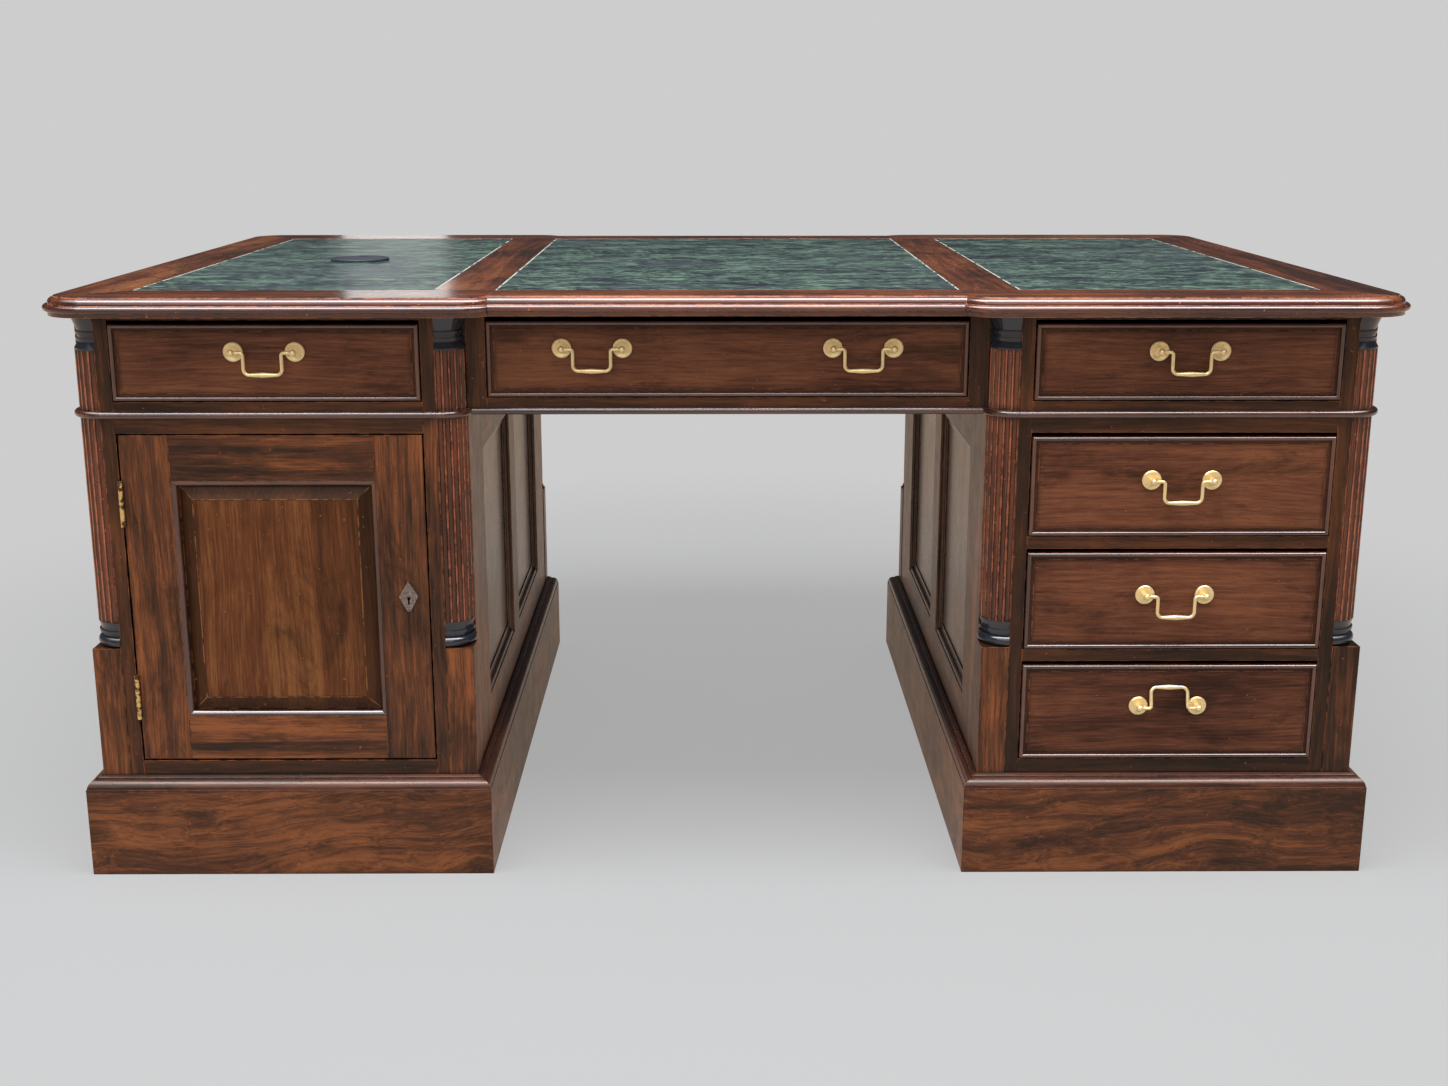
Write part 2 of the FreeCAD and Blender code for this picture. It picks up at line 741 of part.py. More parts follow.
panel_wide = panel_end - muntin_half
panel_tall = panel_high - panel_low
panel_middle = (panel_end + muntin_half) / 2
panel_centre = (panel_low + panel_high) / 2
panel_ovolo = panel_set_back - 2 * trim_fillet
cove_start = trim_fillet + panel_ovolo
panel_trim_outline = [
    (0, 0),
    (0, panel_set_back),
    (trim_fillet, panel_set_back),
    (trim_fillet, panel_set_back - trim_fillet, trim_fillet, trim_fillet, -1),
    (cove_start, trim_fillet),
    (panel_trim, trim_fillet),
    (panel_trim, 0),
]
trim_frame = strip_frame("panel_trim_strip", panel_trim_outline, panel_trim, panel_wide, panel_tall)
inner_panel_x = body_in + panel_set_back
outer_panel_x = body_out - panel_set_back
panel_pieces = []
for where, middle in (("front", -panel_middle), ("back", panel_middle)):
    run = (middle - panel_wide / 2, middle + panel_wide / 2)
    height = (panel_low, panel_high)
    panel_pieces += [
        block(f"inner_{where}_panel", (inner_panel_x, inner_panel_x + panel_thick), run, height),
        block(f"outer_{where}_panel", (outer_panel_x - panel_thick, outer_panel_x), run, height),
        group(f"inner_{where}_trim", trim_frame, inner_panel_x, middle, panel_centre, FACE_LEFT),
        group(f"outer_{where}_trim", trim_frame, outer_panel_x, middle, panel_centre, FACE_RIGHT),
    ]
node("side_panels", both("panels", panel_pieces))

# ---- The plinths: mitred boards, bearers inside them and a moulding on top ----

plinth_thick = cell("plinth_thick", 20)
skirting_high = cell("skirting_high", 17.5)
bearer_high = cell("bearer_high", 40)
bearer_wide = cell("bearer_wide", 30)

plinth_wide = body_out - body_in + 2 * plinth_thick
plinth_deep = 2 * (body_deep + plinth_thick)
pedestal_middle = (body_in + body_out) / 2
plinth_outline = [(0, 0), (plinth_thick, 0), (plinth_thick, plinth_top), (0, plinth_top)]
skirting_back = plinth_thick - block_proud
skirting_round = skirting_high - 3 * ledge
skirting_outline = [
    (0, 0),
    (0, ledge),
    (ledge / 2, ledge, ledge / 2 + skirting_round, ledge, -1),
    (ledge / 2 + skirting_round, ledge + skirting_round),
    (ledge / 2 + skirting_round, skirting_high - ledge),
    (skirting_back - ledge, skirting_high),
    (skirting_back, skirting_high),
    (skirting_back, 0),
]
bearer_height = (plinth_top - bearer_high, plinth_top)
bearer_in = body_in + bearer_wide
bearer_out = body_out - bearer_wide
bearer_deep = (bearer_wide - body_deep, body_deep - bearer_wide)
plinth_pieces = [
    group("plinth_boards", strip_frame("plinth_board", plinth_outline, plinth_thick, plinth_wide,
                                       plinth_deep), pedestal_middle),
    group("skirting", strip_frame("skirting_strip", skirting_outline, skirting_back, plinth_wide,
                                  plinth_deep), pedestal_middle, 0, plinth_top),
    block("bearer_inner", (body_in, bearer_in), bearer_deep, bearer_height),
    block("bearer_outer", (bearer_out, body_out), bearer_deep, bearer_height),
    block("bearer_front", (body_in, body_out), (-body_deep, bearer_deep[0]), bearer_height),
    block("bearer_back", (body_in, body_out), (bearer_deep[1], body_deep), bearer_height),
]
node("plinths", both("plinth", plinth_pieces))

# ---- Inside: drawer runners and guides, the cupboard shelves and the door stops ----

shelf_level = cell("shelf_level", 372)
shelf_thick = cell("shelf_thick", 16)
shelf_play = cell("shelf_play", 1)
batten_high = cell("batten_high", 20)
stop_long = cell("stop_long", 40)
stop_thick = cell("stop_thick", 10)
stop_play = cell("stop_play", 0.4)
door_thick = cell("door_thick", 20)

runner_in = (inner_board[1], opening_in + board / 2)
runner_out = (opening_out - board / 2, outer_board[0])
run_inside = ledges("frieze_runner", (case_top, frieze_low), runner_in, runner_out, side_run)
run_inside += ledges("frieze_guide", (frieze_low, frieze_low + guide_high), run=side_run)
for where, side in (("right", 1), ("left", -1)):
    inner, outer = (opening_mid - board, body_in), (opening_mid, body_in)
    run = (centre_post[1], -middle_half)
    spans = (inner, outer) if side > 0 else (mirrored(inner), mirrored(outer))
    run_inside.append(block(f"centre_runner_{where}", spans[0], run, (ceiling_height[1], frieze_low)))
    run_inside.append(block(f"centre_guide_{where}", spans[1], run, (frieze_low, frieze_low + guide_high)))
for step in (0, 1, 2):
    level = case_low + step * opening_pitch
    low = level - drawer_rail if step else bottom_height[1]
    run_inside += ledges(f"case_runner_{step}", (low, level), runner_in, runner_out, side_run)
    run_inside += ledges(f"case_guide_{step}", (level, level + guide_high), run=side_run)
shelf_run = (middle_half, post_back - shelf_play)
shelf_across = (inner_board[1] + shelf_play, outer_board[0] - shelf_play)
batten_height = (shelf_level - batten_high, shelf_level)
run_inside += [
    block("shelf", shelf_across, shelf_run, (shelf_level, shelf_level + shelf_thick)),
    block("batten_inner", (inner_board[1], column_in), shelf_run, batten_height),
    block("batten_outer", (column_out, outer_board[0]), shelf_run, batten_height),
]
stop_back = body_deep - door_thick - stop_play
stop_x = opening_in + board / 2
run_inside.append(block("door_stop", (stop_x, stop_x + stop_long), (stop_back - stop_thick, stop_back),
                        (case_high - stop_thick, case_high)))
node("runners_and_shelves", both("inside", run_inside))

# ---- The drawers: a beaded front, two sides, a back and a bottom ----

drawer_gap = cell("drawer_gap", 1.5)
drawer_head = cell("drawer_head", 5)
front_thick = cell("front_thick", 20)
side_thick = cell("side_thick", 10)
floor_thick = cell("floor_thick", 6)
drawer_deep = cell("drawer_deep", 458)
side_drop = cell("side_drop", 14)
run_play = cell("run_play", 0.4)
cock_wide = cell("cock_wide", 5.5)
cock_proud = cell("cock_proud", 3.8)
field_inset = cell("field_inset", 9.5)
field_raise = cell("field_raise", 1.2)
pull_centres = cell("pull_centres", 78)
pull_lift = cell("pull_lift", 8.5)
frieze_pull_lift = cell("frieze_pull_lift", 14)
mid_pull = cell("mid_pull", 174)
stud_round = cell("stud_round", 2.4)
stud_play = cell("stud_play", 0.1)

cock_round = cock_wide / 2
cock_outline = [
    (0, 0),
    (0, cock_proud - cock_round, cock_round, cock_proud - cock_round, -1),
    (cock_wide, cock_proud - cock_round),
    (cock_wide, 0),
]

def drawer_wood(name, wide, high, pulls, lift):
    """The wooden pieces of a drawer. Its face is at Y = 0 and the foot of its front at Z = 0."""
    half = wide / 2
    side_low = run_play - drawer_gap
    side_high = high - side_drop
    inner_half = half - side_thick
    front_blank = fuse(name + "_front_blank", [
        block(name + "_front_board", (-half, half), (0, front_thick), (0, high)),
        block(name + "_field", (field_inset - half, half - field_inset), (-field_raise, 0),
              (field_inset, high - field_inset)),
    ])
    level = high / 2 + lift
    drills = []
    for index, pull in enumerate(pulls):
        for side in (1, -1):
            drills.append(rod(f"{name}_drill_{index}_{side + 1}", stud_round + stud_play,
                              2 * front_thick, pull + side * pull_centres / 2, front_thick + ledge,
                              level, STAND_UP))
    return [
        cut(name + "_front", front_blank, *drills),
        group(name + "_cock_bead", strip_frame(name + "_bead", cock_outline, cock_wide, wide, high),
              0, 0, high / 2, STAND_UP),
        block(name + "_right", (inner_half, half), (front_thick, drawer_deep), (side_low, side_high)),
        block(name + "_left", (-half, -inner_half), (front_thick, drawer_deep), (side_low, side_high)),
        block(name + "_back", (-inner_half, inner_half), (drawer_deep - side_thick, drawer_deep),
              (floor_thick, side_high)),
        block(name + "_bottom", (-inner_half, inner_half), (front_thick, drawer_deep),
              (0, floor_thick)),
    ]


# ---- The bail pulls: dished plates, ball posts with studs and nuts, and a bail that swings ----

plate_round = cell("plate_round", 12.5)
plate_thick = cell("plate_thick", 2.4)
plate_dish = cell("plate_dish", 0.9)
post_round = cell("post_round", 2.6)
ball_round = cell("ball_round", 4.4)
pivot_out = cell("pivot_out", 12)
nut_round = cell("nut_round", 5)
nut_thick = cell("nut_thick", 3.5)
pin_round = cell("pin_round", 1.5)
pin_play = cell("pin_play", 0.05)
pin_long = cell("pin_long", 3)
collar_round = cell("collar_round", 2.6)
collar_long = cell("collar_long", 1.6)
neck_long = cell("neck_long", 9.6)
bail_round = cell("bail_round", 2.2)
elbow = cell("elbow", 3.4)
bail_corner = cell("bail_corner", 7.5)
bail_drop = cell("bail_drop", 28)
grip_round = cell("grip_round", 3.4)
bail_lean = 16

ball_flat = (ball_round.value ** 2 - post_round.value ** 2) ** 0.5
plate = turned("pull_plate", [
    (post_round, 0),
    (post_round, plate_thick - plate_dish),
    (plate_round / 2, plate_thick - plate_dish),
    (plate_round - ledge, plate_thick),
    (plate_round - ledge / 2, plate_thick),
    (plate_round, plate_thick - plate_dish),
    (plate_round, 0),
])
nut_low = -front_thick - field_raise - nut_thick
ball_blank = turned("pull_ball", [
    (0, nut_low),
    (stud_round, nut_low),
    (stud_round, 0),
    (post_round, 0),
    (post_round, pivot_out - Size(ball_flat, "sqrt(Sizes.ball_round ^ 2 - Sizes.post_round ^ 2)"),
     0, pivot_out, 1),
    (0, pivot_out + ball_round),
])
pin_bore = rod("pin_bore", pin_round + pin_play, 2 * ball_round,
               ball_round - pin_long - 2 * pin_play, 0, pivot_out, LIE_ALONG_X)
post = cut("pull_post", ball_blank, pin_bore)
nut = cut("pull_nut", rod("nut_blank", nut_round, nut_thick, z=nut_low),
          rod("nut_bore", stud_round, nut_thick, z=nut_low))
half_pull = group("half_pull", [plate, post, nut])


def pull_mount(name, across, level):
    """The fixed half of a pull, over two drilled holes in a drawer front."""
    left, right = across - pull_centres / 2, across + pull_centres / 2
    return [
        group(name + "_left", [half_pull], left, -field_raise, level, STAND_UP),
        group(name + "_right", [half_pull], right, -field_raise, level, STAND_UP * HALF_TURN),
    ]


# The bail is made hanging, with the line of its pins on the X axis.

pin_start = pull_centres / 2 - ball_round
neck_start = pin_start - 2 * run_play
leg_line = neck_start - neck_long
corner_line_x = leg_line - bail_corner
corner_line_z = bail_corner - bail_drop
neck_end = leg_line + elbow


def bend(name, radius, x, z, turn):
    """A quarter of a ring of bail rod, in the plane of the bail."""
    item = doc.addObject("Part::Torus", name)
    bind(item, {"Radius1": radius, "Radius2": bail_round})
    item.Angle3 = 90
    return place(item, x, 0, z, STAND_UP * turn)


grip = turned("grip", [(0, 0), (bail_round, 0), (grip_round, corner_line_x), (0, corner_line_x)])
half_bail = fuse("half_bail", [
    rod("bail_pin", pin_round, pin_long + 2 * run_play, neck_start, 0, 0, LIE_ALONG_X),
    rod("bail_collar", collar_round, collar_long, neck_start - collar_long, 0, 0, LIE_ALONG_X),
    rod("bail_neck", bail_round, neck_start - neck_end, neck_end, 0, 0, LIE_ALONG_X),
    bend("bail_elbow", elbow, neck_end, -elbow, spin(90)),
    rod("bail_leg", bail_round, -corner_line_z - elbow, leg_line, 0, corner_line_z),
    bend("bail_bend", bail_corner, corner_line_x, corner_line_z, spin(-90)),
    group("bail_grip", [grip], corner_line_x, 0, -bail_drop, Rotation(Vector(0, 1, 0), -90)),
])
bail = fuse("bail", [half_bail, group("other_half_bail", [half_bail], turn=HALF_TURN)])

# Each drawer stands in its opening with its own pull, at the front and again at the back.

frieze_front_high = frieze_high - frieze_low - drawer_gap - drawer_head
pedestal_front_high = drawer_space - drawer_gap - drawer_head
side_wide = opening_out - opening_in - 2 * drawer_gap
middle_wide = 2 * (opening_mid - drawer_gap)
drawer_x = (opening_in + opening_out) / 2
frieze_foot = frieze_low + drawer_gap
frieze_wood = drawer_wood("side_frieze_drawer", side_wide, frieze_front_high, [0], frieze_pull_lift)
middle_wood = drawer_wood("middle_frieze_drawer", middle_wide, frieze_front_high,
                          [-mid_pull, mid_pull], frieze_pull_lift)
pedestal_wood = drawer_wood("pedestal_drawer", side_wide, pedestal_front_high, [0], pull_lift)
frieze_level = frieze_foot + frieze_front_high / 2 + frieze_pull_lift
one_pull = {"bail": Size.of(0)}
two_pulls = {"bail_left": -mid_pull, "bail_right": mid_pull}
drawers = [
    ("frieze_left", frieze_wood, -drawer_x, body_deep, frieze_foot, frieze_level, one_pull),
    ("frieze_centre", middle_wood, Size.of(0), centre_face, frieze_foot, frieze_level, two_pulls),
    ("frieze_right", frieze_wood, drawer_x, body_deep, frieze_foot, frieze_level, one_pull),
]
for step, word in enumerate(("bottom", "middle", "top")):
    foot = case_low + step * opening_pitch + drawer_gap
    level = foot + pedestal_front_high / 2 + pull_lift
    drawers.append(("pedestal_" + word, pedestal_wood, drawer_x, body_deep, foot, level, one_pull))
swung_up = Rotation(Vector(-1, 0, 0), 180 + bail_lean)
for end, side, turn in (("front", 1, Rotation()), ("back", -1, HALF_TURN)):
    for word, wood, across, face, foot, level, pulls in drawers:
        node(f"{end}_{word}_drawer", wood, side * across, -side * face, foot, turn)
        mounts = []
        for pull, offset in pulls.items():
            mounts += pull_mount(f"{end}_{word}_{pull}_mount", offset, level)
            rest = swung_up if (end, word) == ("front", "pedestal_bottom") else Rotation()
            node(f"{end}_{word}_{pull}", [bail], side * (across + offset),
                 -side * (face + field_raise + pivot_out), level, turn * rest)
        node(f"{end}_{word}_pull", mounts, side * across, -side * face, 0, turn)

# ---- The cupboard doors: a framed leaf with a raised panel, hinges and a lock ----

hinge_gap = cell("hinge_gap", 2.5)
door_gap = cell("door_gap", 2)
door_stile = cell("door_stile", 62.8)
door_rail = cell("door_rail", 60.2)
door_trim = cell("door_trim", 7)
panel_plate = cell("panel_plate", 7)
plate_set_back = cell("plate_set_back", 11)
field_bevel = cell("field_bevel", 18)
field_set_back = cell("field_set_back", 4)
leaf_thick = cell("leaf_thick", 1)
leaf_wide = cell("leaf_wide", 18)
leaf_gap = cell("leaf_gap", 0.5)
hinge_long = cell("hinge_long", 60)
hinge_low = cell("hinge_low", 216)
hinge_high = cell("hinge_high", 478)
knuckle_round = cell("knuckle_round", 2.9)
knuckle_out = cell("knuckle_out", 3.4)
knuckle_gap = cell("knuckle_gap", 0.3)
hinge_pin = cell("hinge_pin", 1.4)
knuckle_count = 7
lock_long = cell("lock_long", 40)
lock_high = cell("lock_high", 60)
lock_deep = cell("lock_deep", 8)
bolt_long = cell("bolt_long", 19.5)
bolt_inset = cell("bolt_inset", 0.5)
bolt_play = cell("bolt_play", 0.3)
keyhole_x = cell("keyhole_x", 417.5)
keyhole_round = cell("keyhole_round", 2.2)
keyhole_slot = cell("keyhole_slot", 2.4)
keyhole_long = cell("keyhole_long", 9)
keyhole_blind = cell("keyhole_blind", 6)
scutcheon_thick = cell("scutcheon_thick", 1.6)
scutcheon_top = cell("scutcheon_top", 23.6)
scutcheon_side = cell("scutcheon_side", 12.6)
scutcheon_lift = cell("scutcheon_lift", 3)
scutcheon_foot = cell("scutcheon_foot", 17)
scutcheon_rim = cell("scutcheon_rim", 2.4)
rim_proud = cell("rim_proud", 0.9)
prong = cell("prong", 2.2)

door_x = (hinge_gap - opening_out, -opening_in - door_gap)
door_y = (-body_deep, door_thick - body_deep)
door_z = (case_low + hinge_gap, case_high - door_gap)
open_x = (door_x[0] + door_stile, door_x[1] - door_stile)
open_z = (door_z[0] + door_rail, door_z[1] - door_rail)
lock_box = block("lock_box", (door_x[1] - lock_long, door_x[1]), (door_y[1] - lock_deep, door_y[1]),
                 (lock_level - lock_high / 2, lock_level + lock_high / 2))
keyhole = [
    rod("keyhole_eye", keyhole_round, 3 * door_thick, -keyhole_x, 0, lock_level, STAND_UP),
    block("keyhole_slot", (-keyhole_x - keyhole_slot / 2, keyhole_slot / 2 - keyhole_x),
          (-3 * door_thick, 0), (lock_level - keyhole_long, lock_level)),
]
keyhole_way = group("keyhole_way", keyhole, 0, door_y[1] - lock_deep + keyhole_blind, 0)
door_frame = [
    block("hinge_stile", (door_x[0], open_x[0]), door_y, door_z),
    cut("lock_stile_cut", block("lock_stile", (open_x[1], door_x[1]), door_y, door_z), lock_box,
        keyhole_way),
    block("door_low_rail", open_x, door_y, (door_z[0], open_z[0])),
    block("door_high_rail", open_x, door_y, (open_z[1], door_z[1])),
]

# The panel is a plate with a raised and bevelled field, held by a moulding.

plate_y = plate_set_back - body_deep
door_trim_outline = [
    (0, 0),
    (0, plate_set_back, 0, plate_set_back - door_trim, -1),
    (door_trim, plate_set_back - door_trim),
    (door_trim, 0),
]
field_x = (open_x[0] + door_trim, open_x[1] - door_trim)
field_z = (open_z[0] + door_trim, open_z[1] - door_trim)
raised_field = bind(doc.addObject("Part::Wedge", "raised_field"), {
    "Xmin": field_x[0] + field_bevel, "Xmax": field_x[1] - field_bevel,
    "Zmin": field_z[0] + field_bevel, "Zmax": field_z[1] - field_bevel,
    "X2min": field_x[0], "X2max": field_x[1], "Z2min": field_z[0], "Z2max": field_z[1],
    "Ymin": field_set_back - body_deep, "Ymax": plate_y,
})
door_trim_frame = strip_frame("door_trim_strip", door_trim_outline, door_trim,
                              open_x[1] - open_x[0], open_z[1] - open_z[0])
door_panel = [
    fuse("door_panel_plate", [
        block("panel_plate", open_x, (plate_y, plate_y + panel_plate), open_z), raised_field]),
    group("door_trim_frame", door_trim_frame, (open_x[0] + open_x[1]) / 2, plate_y,
          (open_z[0] + open_z[1]) / 2, STAND_UP),
]

# A hinge is made with its pin line on the Z axis: four fixed knuckles, three on the door.

knuckle_pitch = (hinge_long + knuckle_gap) / knuckle_count
knuckle_bore = rod("knuckle_bore", hinge_pin + pin_play, hinge_long + 2 * knuckle_gap, z=-knuckle_gap)


def hinge_half(name, across, first):
    """A leaf with its knuckles, every other one along the pin."""
    pieces = [block(name + "_leaf", across, (knuckle_out, knuckle_out + leaf_wide), (0, hinge_long))]
    for step in range(first, knuckle_count, 2):
        low = step * knuckle_pitch
        high = low + knuckle_pitch - knuckle_gap
        pieces.append(rod(f"{name}_knuckle_{step}", knuckle_round, high - low, z=low))
        pieces.append(block(f"{name}_tab_{step}", across, (0, knuckle_out), (low, high)))
    return cut(name, fuse(name + "_blank", pieces), knuckle_bore)


fixed_across = (-leaf_gap / 2 - leaf_thick, -leaf_gap / 2)
fixed_half = hinge_half("fixed_hinge_half", fixed_across, 0)
moving_half = hinge_half("moving_hinge_half", mirrored(fixed_across), 1)
hinge_pin_rod = rod("hinge_pin_rod", hinge_pin, hinge_long)
hinge_x = door_x[0] - leaf_thick - leaf_gap / 2
hinge_y = -body_deep - knuckle_out
hinge_fixed = []
hinge_moving = []
for word, low in (("low", hinge_low), ("high", hinge_high)):
    hinge_fixed.append(group("hinge_fixed_" + word, [fixed_half, hinge_pin_rod], hinge_x, hinge_y, low))
    hinge_moving.append(group("hinge_moving_" + word, [moving_half], hinge_x, hinge_y, low))
node("hinge_leaves", both("hinges", hinge_fixed))

# The lock: a case let into the stile, a bolt that slides out of it and a kite-shaped escutcheon.

bolt_x = (door_x[1] - bolt_inset - bolt_long, door_x[1] - bolt_inset)
bolt_y = (bolt_line - bolt_wide / 2 - body_deep, bolt_line + bolt_wide / 2 - body_deep)
bolt_z = (lock_level - bolt_high / 2, lock_level + bolt_high / 2)
bolt_way = block(
    "bolt_way",
    (bolt_x[0] - bolt_inset, door_x[1]),
    (bolt_y[0] - bolt_play, bolt_y[1] + bolt_play),
    (bolt_z[0] - bolt_play, bolt_z[1] + bolt_play))
kite = [
    (0, scutcheon_top),
    (-scutcheon_side, scutcheon_lift),
    (-prong, -scutcheon_foot),
    (-prong / 2, -scutcheon_foot - prong / 2),
    (0, prong / 2 - scutcheon_foot),
    (prong / 2, -scutcheon_foot - prong / 2),
    (prong, -scutcheon_foot),
    (scutcheon_side, scutcheon_lift),
]
inner_kite = [
    (0, scutcheon_top - 2 * scutcheon_rim),
    (scutcheon_rim - scutcheon_side, scutcheon_lift),
    (0, 3 * scutcheon_rim / 2 - scutcheon_foot),
    (scutcheon_side - scutcheon_rim, scutcheon_lift),
]
hood = [
    (0, scutcheon_lift + 2 * scutcheon_rim),
    (-scutcheon_side / 2, scutcheon_lift),
    (-scutcheon_side / 2, scutcheon_lift - scutcheon_rim),
    (0, scutcheon_lift + scutcheon_rim),
    (scutcheon_side / 2, scutcheon_lift - scutcheon_rim),
    (scutcheon_side / 2, scutcheon_lift),
]
rim_thick = scutcheon_thick + rim_proud
scutcheon = cut(
    "scutcheon",
    fuse("scutcheon_blank", [
        pad("scutcheon_plate", "XZ", kite, scutcheon_thick),
        cut("scutcheon_rim_cut", pad("scutcheon_rim_blank", "XZ", kite, rim_thick),
            pad("scutcheon_well", "XZ", inner_kite, 2 * rim_thick)),
        pad("scutcheon_hood", "XZ", hood, rim_thick),
    ]),
    group("scutcheon_keyhole", keyhole, keyhole_x, door_thick, -lock_level))
door_fittings = hinge_moving + [
    cut("lock_case", lock_box, bolt_way, keyhole_way),
    group("scutcheon_on_door", [scutcheon], -keyhole_x, -body_deep, lock_level),
]
lock_bolt = block("lock_bolt", bolt_x, bolt_y, bolt_z)
for end, turn in (("front", Rotation()), ("back", HALF_TURN)):
    node(end + "_door", door_frame, turn=turn)
    node(end + "_door_panel", door_panel, turn=turn)
    node(end + "_door_fittings", door_fittings, turn=turn)
    node(end + "_door_bolt", [lock_bolt], turn=turn)

# ---- Check every piece and write the files ----

doc.recompute()
for item in doc.Objects:
    if "Invalid" in item.State or "Error" in item.State:
        raise RuntimeError(f"{item.Name} failed: {item.State}")
os.makedirs("parts", exist_ok=True)
for item in nodes:
    if item.Shape.isNull() or not item.Shape.isValid():
        raise RuntimeError(f"{item.Label} has no valid shape")
    item.Shape.exportStep(f"parts/{item.Label}.step")
print(len(nodes), "nodes,", sum(len(item.Shape.Solids) for item in nodes), "solids")
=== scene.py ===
import json
import math
import random

import bpy
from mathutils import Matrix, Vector

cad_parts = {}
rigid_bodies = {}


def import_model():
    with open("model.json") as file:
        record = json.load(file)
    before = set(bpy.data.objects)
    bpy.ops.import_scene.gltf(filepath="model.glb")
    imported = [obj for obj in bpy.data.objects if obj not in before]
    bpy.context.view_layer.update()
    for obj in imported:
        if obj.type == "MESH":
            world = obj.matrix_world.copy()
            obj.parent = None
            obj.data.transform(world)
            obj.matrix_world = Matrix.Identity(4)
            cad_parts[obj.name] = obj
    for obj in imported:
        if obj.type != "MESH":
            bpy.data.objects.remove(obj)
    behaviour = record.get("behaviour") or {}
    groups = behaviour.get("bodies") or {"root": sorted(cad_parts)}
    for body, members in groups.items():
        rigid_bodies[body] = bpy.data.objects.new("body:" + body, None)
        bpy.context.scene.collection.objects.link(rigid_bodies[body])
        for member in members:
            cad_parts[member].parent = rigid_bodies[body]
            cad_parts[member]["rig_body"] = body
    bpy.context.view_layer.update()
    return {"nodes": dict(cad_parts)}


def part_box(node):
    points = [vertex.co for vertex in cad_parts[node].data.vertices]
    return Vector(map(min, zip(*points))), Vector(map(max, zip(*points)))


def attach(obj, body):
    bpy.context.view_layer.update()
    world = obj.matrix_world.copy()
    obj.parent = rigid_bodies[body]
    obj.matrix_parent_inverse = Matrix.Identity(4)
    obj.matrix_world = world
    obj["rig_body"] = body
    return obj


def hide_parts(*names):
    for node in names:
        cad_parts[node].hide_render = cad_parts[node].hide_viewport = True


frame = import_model()

# ---- The view ----
# A standing person 2.7 m in front of the desk and a little left of its middle, who looks slightly
# down at it. The desk fills the width of the picture.

EYE = (-0.0191, -2.7007, 1.0054)
LOOK_DOWN = math.radians(14.07)
LOOK_RIGHT = math.radians(0.37)
FOCAL_PIXELS = 1740.5
PICTURE_WIDE = 1448
SENSOR_WIDE = 36.0

camera_data = bpy.data.cameras.new("camera")
camera_data.sensor_width = SENSOR_WIDE
camera_data.lens = FOCAL_PIXELS / PICTURE_WIDE * SENSOR_WIDE
camera = bpy.data.objects.new("camera", camera_data)
camera.location = EYE
camera.rotation_euler = (math.pi / 2 - LOOK_DOWN, 0, -LOOK_RIGHT)
bpy.context.scene.collection.objects.link(camera)
bpy.context.scene.camera = camera
bpy.context.scene.view_settings.view_transform = "Standard"

# ---- The studio: floor, room and lights ----
# The desk stands on a pale grey floor that glows a little by itself, so its shadow stays faint, and
# that fades into the flat grey of the backdrop. Polish sees a darker room than the lens does, with a
# bright ceiling towards the lens. Five softboxes light the desk from above, the front, the sides and behind.

BACKDROP = 0.612
FLOOR_GLOW = 0.38
FLOOR_GREY = 0.15
FLOOR_SHEEN = (0.85, 0.66, 0.52)
FLOOR_HALF = 30.0
FLOOR_FADE = (0.9, 2.3)
ROOM_LIGHT = 0.34
ROOM_SHEEN = 0.04
CEILING_SHEEN = 3.6
CEILING_RISE = (0.58, 0.85)
CEILING_BACK = (0.15, 0.50)
BLACK = (0, 0, 0)
WHITE = (1, 1, 1)

# Which output of a node is wanted.
X, Y, Z = 0, 1, 2
CAMERA_RAY, GLOSSY_RAY = 0, 3
GENERATED, OBJECT = 0, 3
VECTOR, NUMBER = 1, 2
LENGTH = 1
MIXED_COLOUR = 2
OCCLUSION = 1


class Wire:
    """An output of a recipe's nodes. Arithmetic on it adds Math nodes."""

    def __init__(self, recipe, socket):
        self.recipe = recipe
        self.socket = socket

    def math(self, operation, *values):
        return self.recipe.add("Math", {"operation": operation}, *values)

    def __add__(self, other):
        return self.math("ADD", self, other)

    def __sub__(self, other):
        return self.math("SUBTRACT", self, other)

    def __rsub__(self, other):
        return self.math("SUBTRACT", other, self)

    def __mul__(self, other):
        return self.math("MULTIPLY", self, other)

    def __floordiv__(self, other):
        return self.math("FLOOR", self.math("DIVIDE", self, other))

    def __abs__(self):
        return self.math("ABSOLUTE", self)

    __radd__ = __add__
    __rmul__ = __mul__

    def least(self, other):
        return self.math("MINIMUM", self, other)

    def most(self, other):
        return self.math("MAXIMUM", self, other)

    def ramp(self, low, high):
        """0 below low and 1 above high, with a smooth step between them."""
        settings = {"interpolation_type": "SMOOTHSTEP"}
        return self.recipe.add("MapRange", settings, self, low, high, 0.0, 1.0)


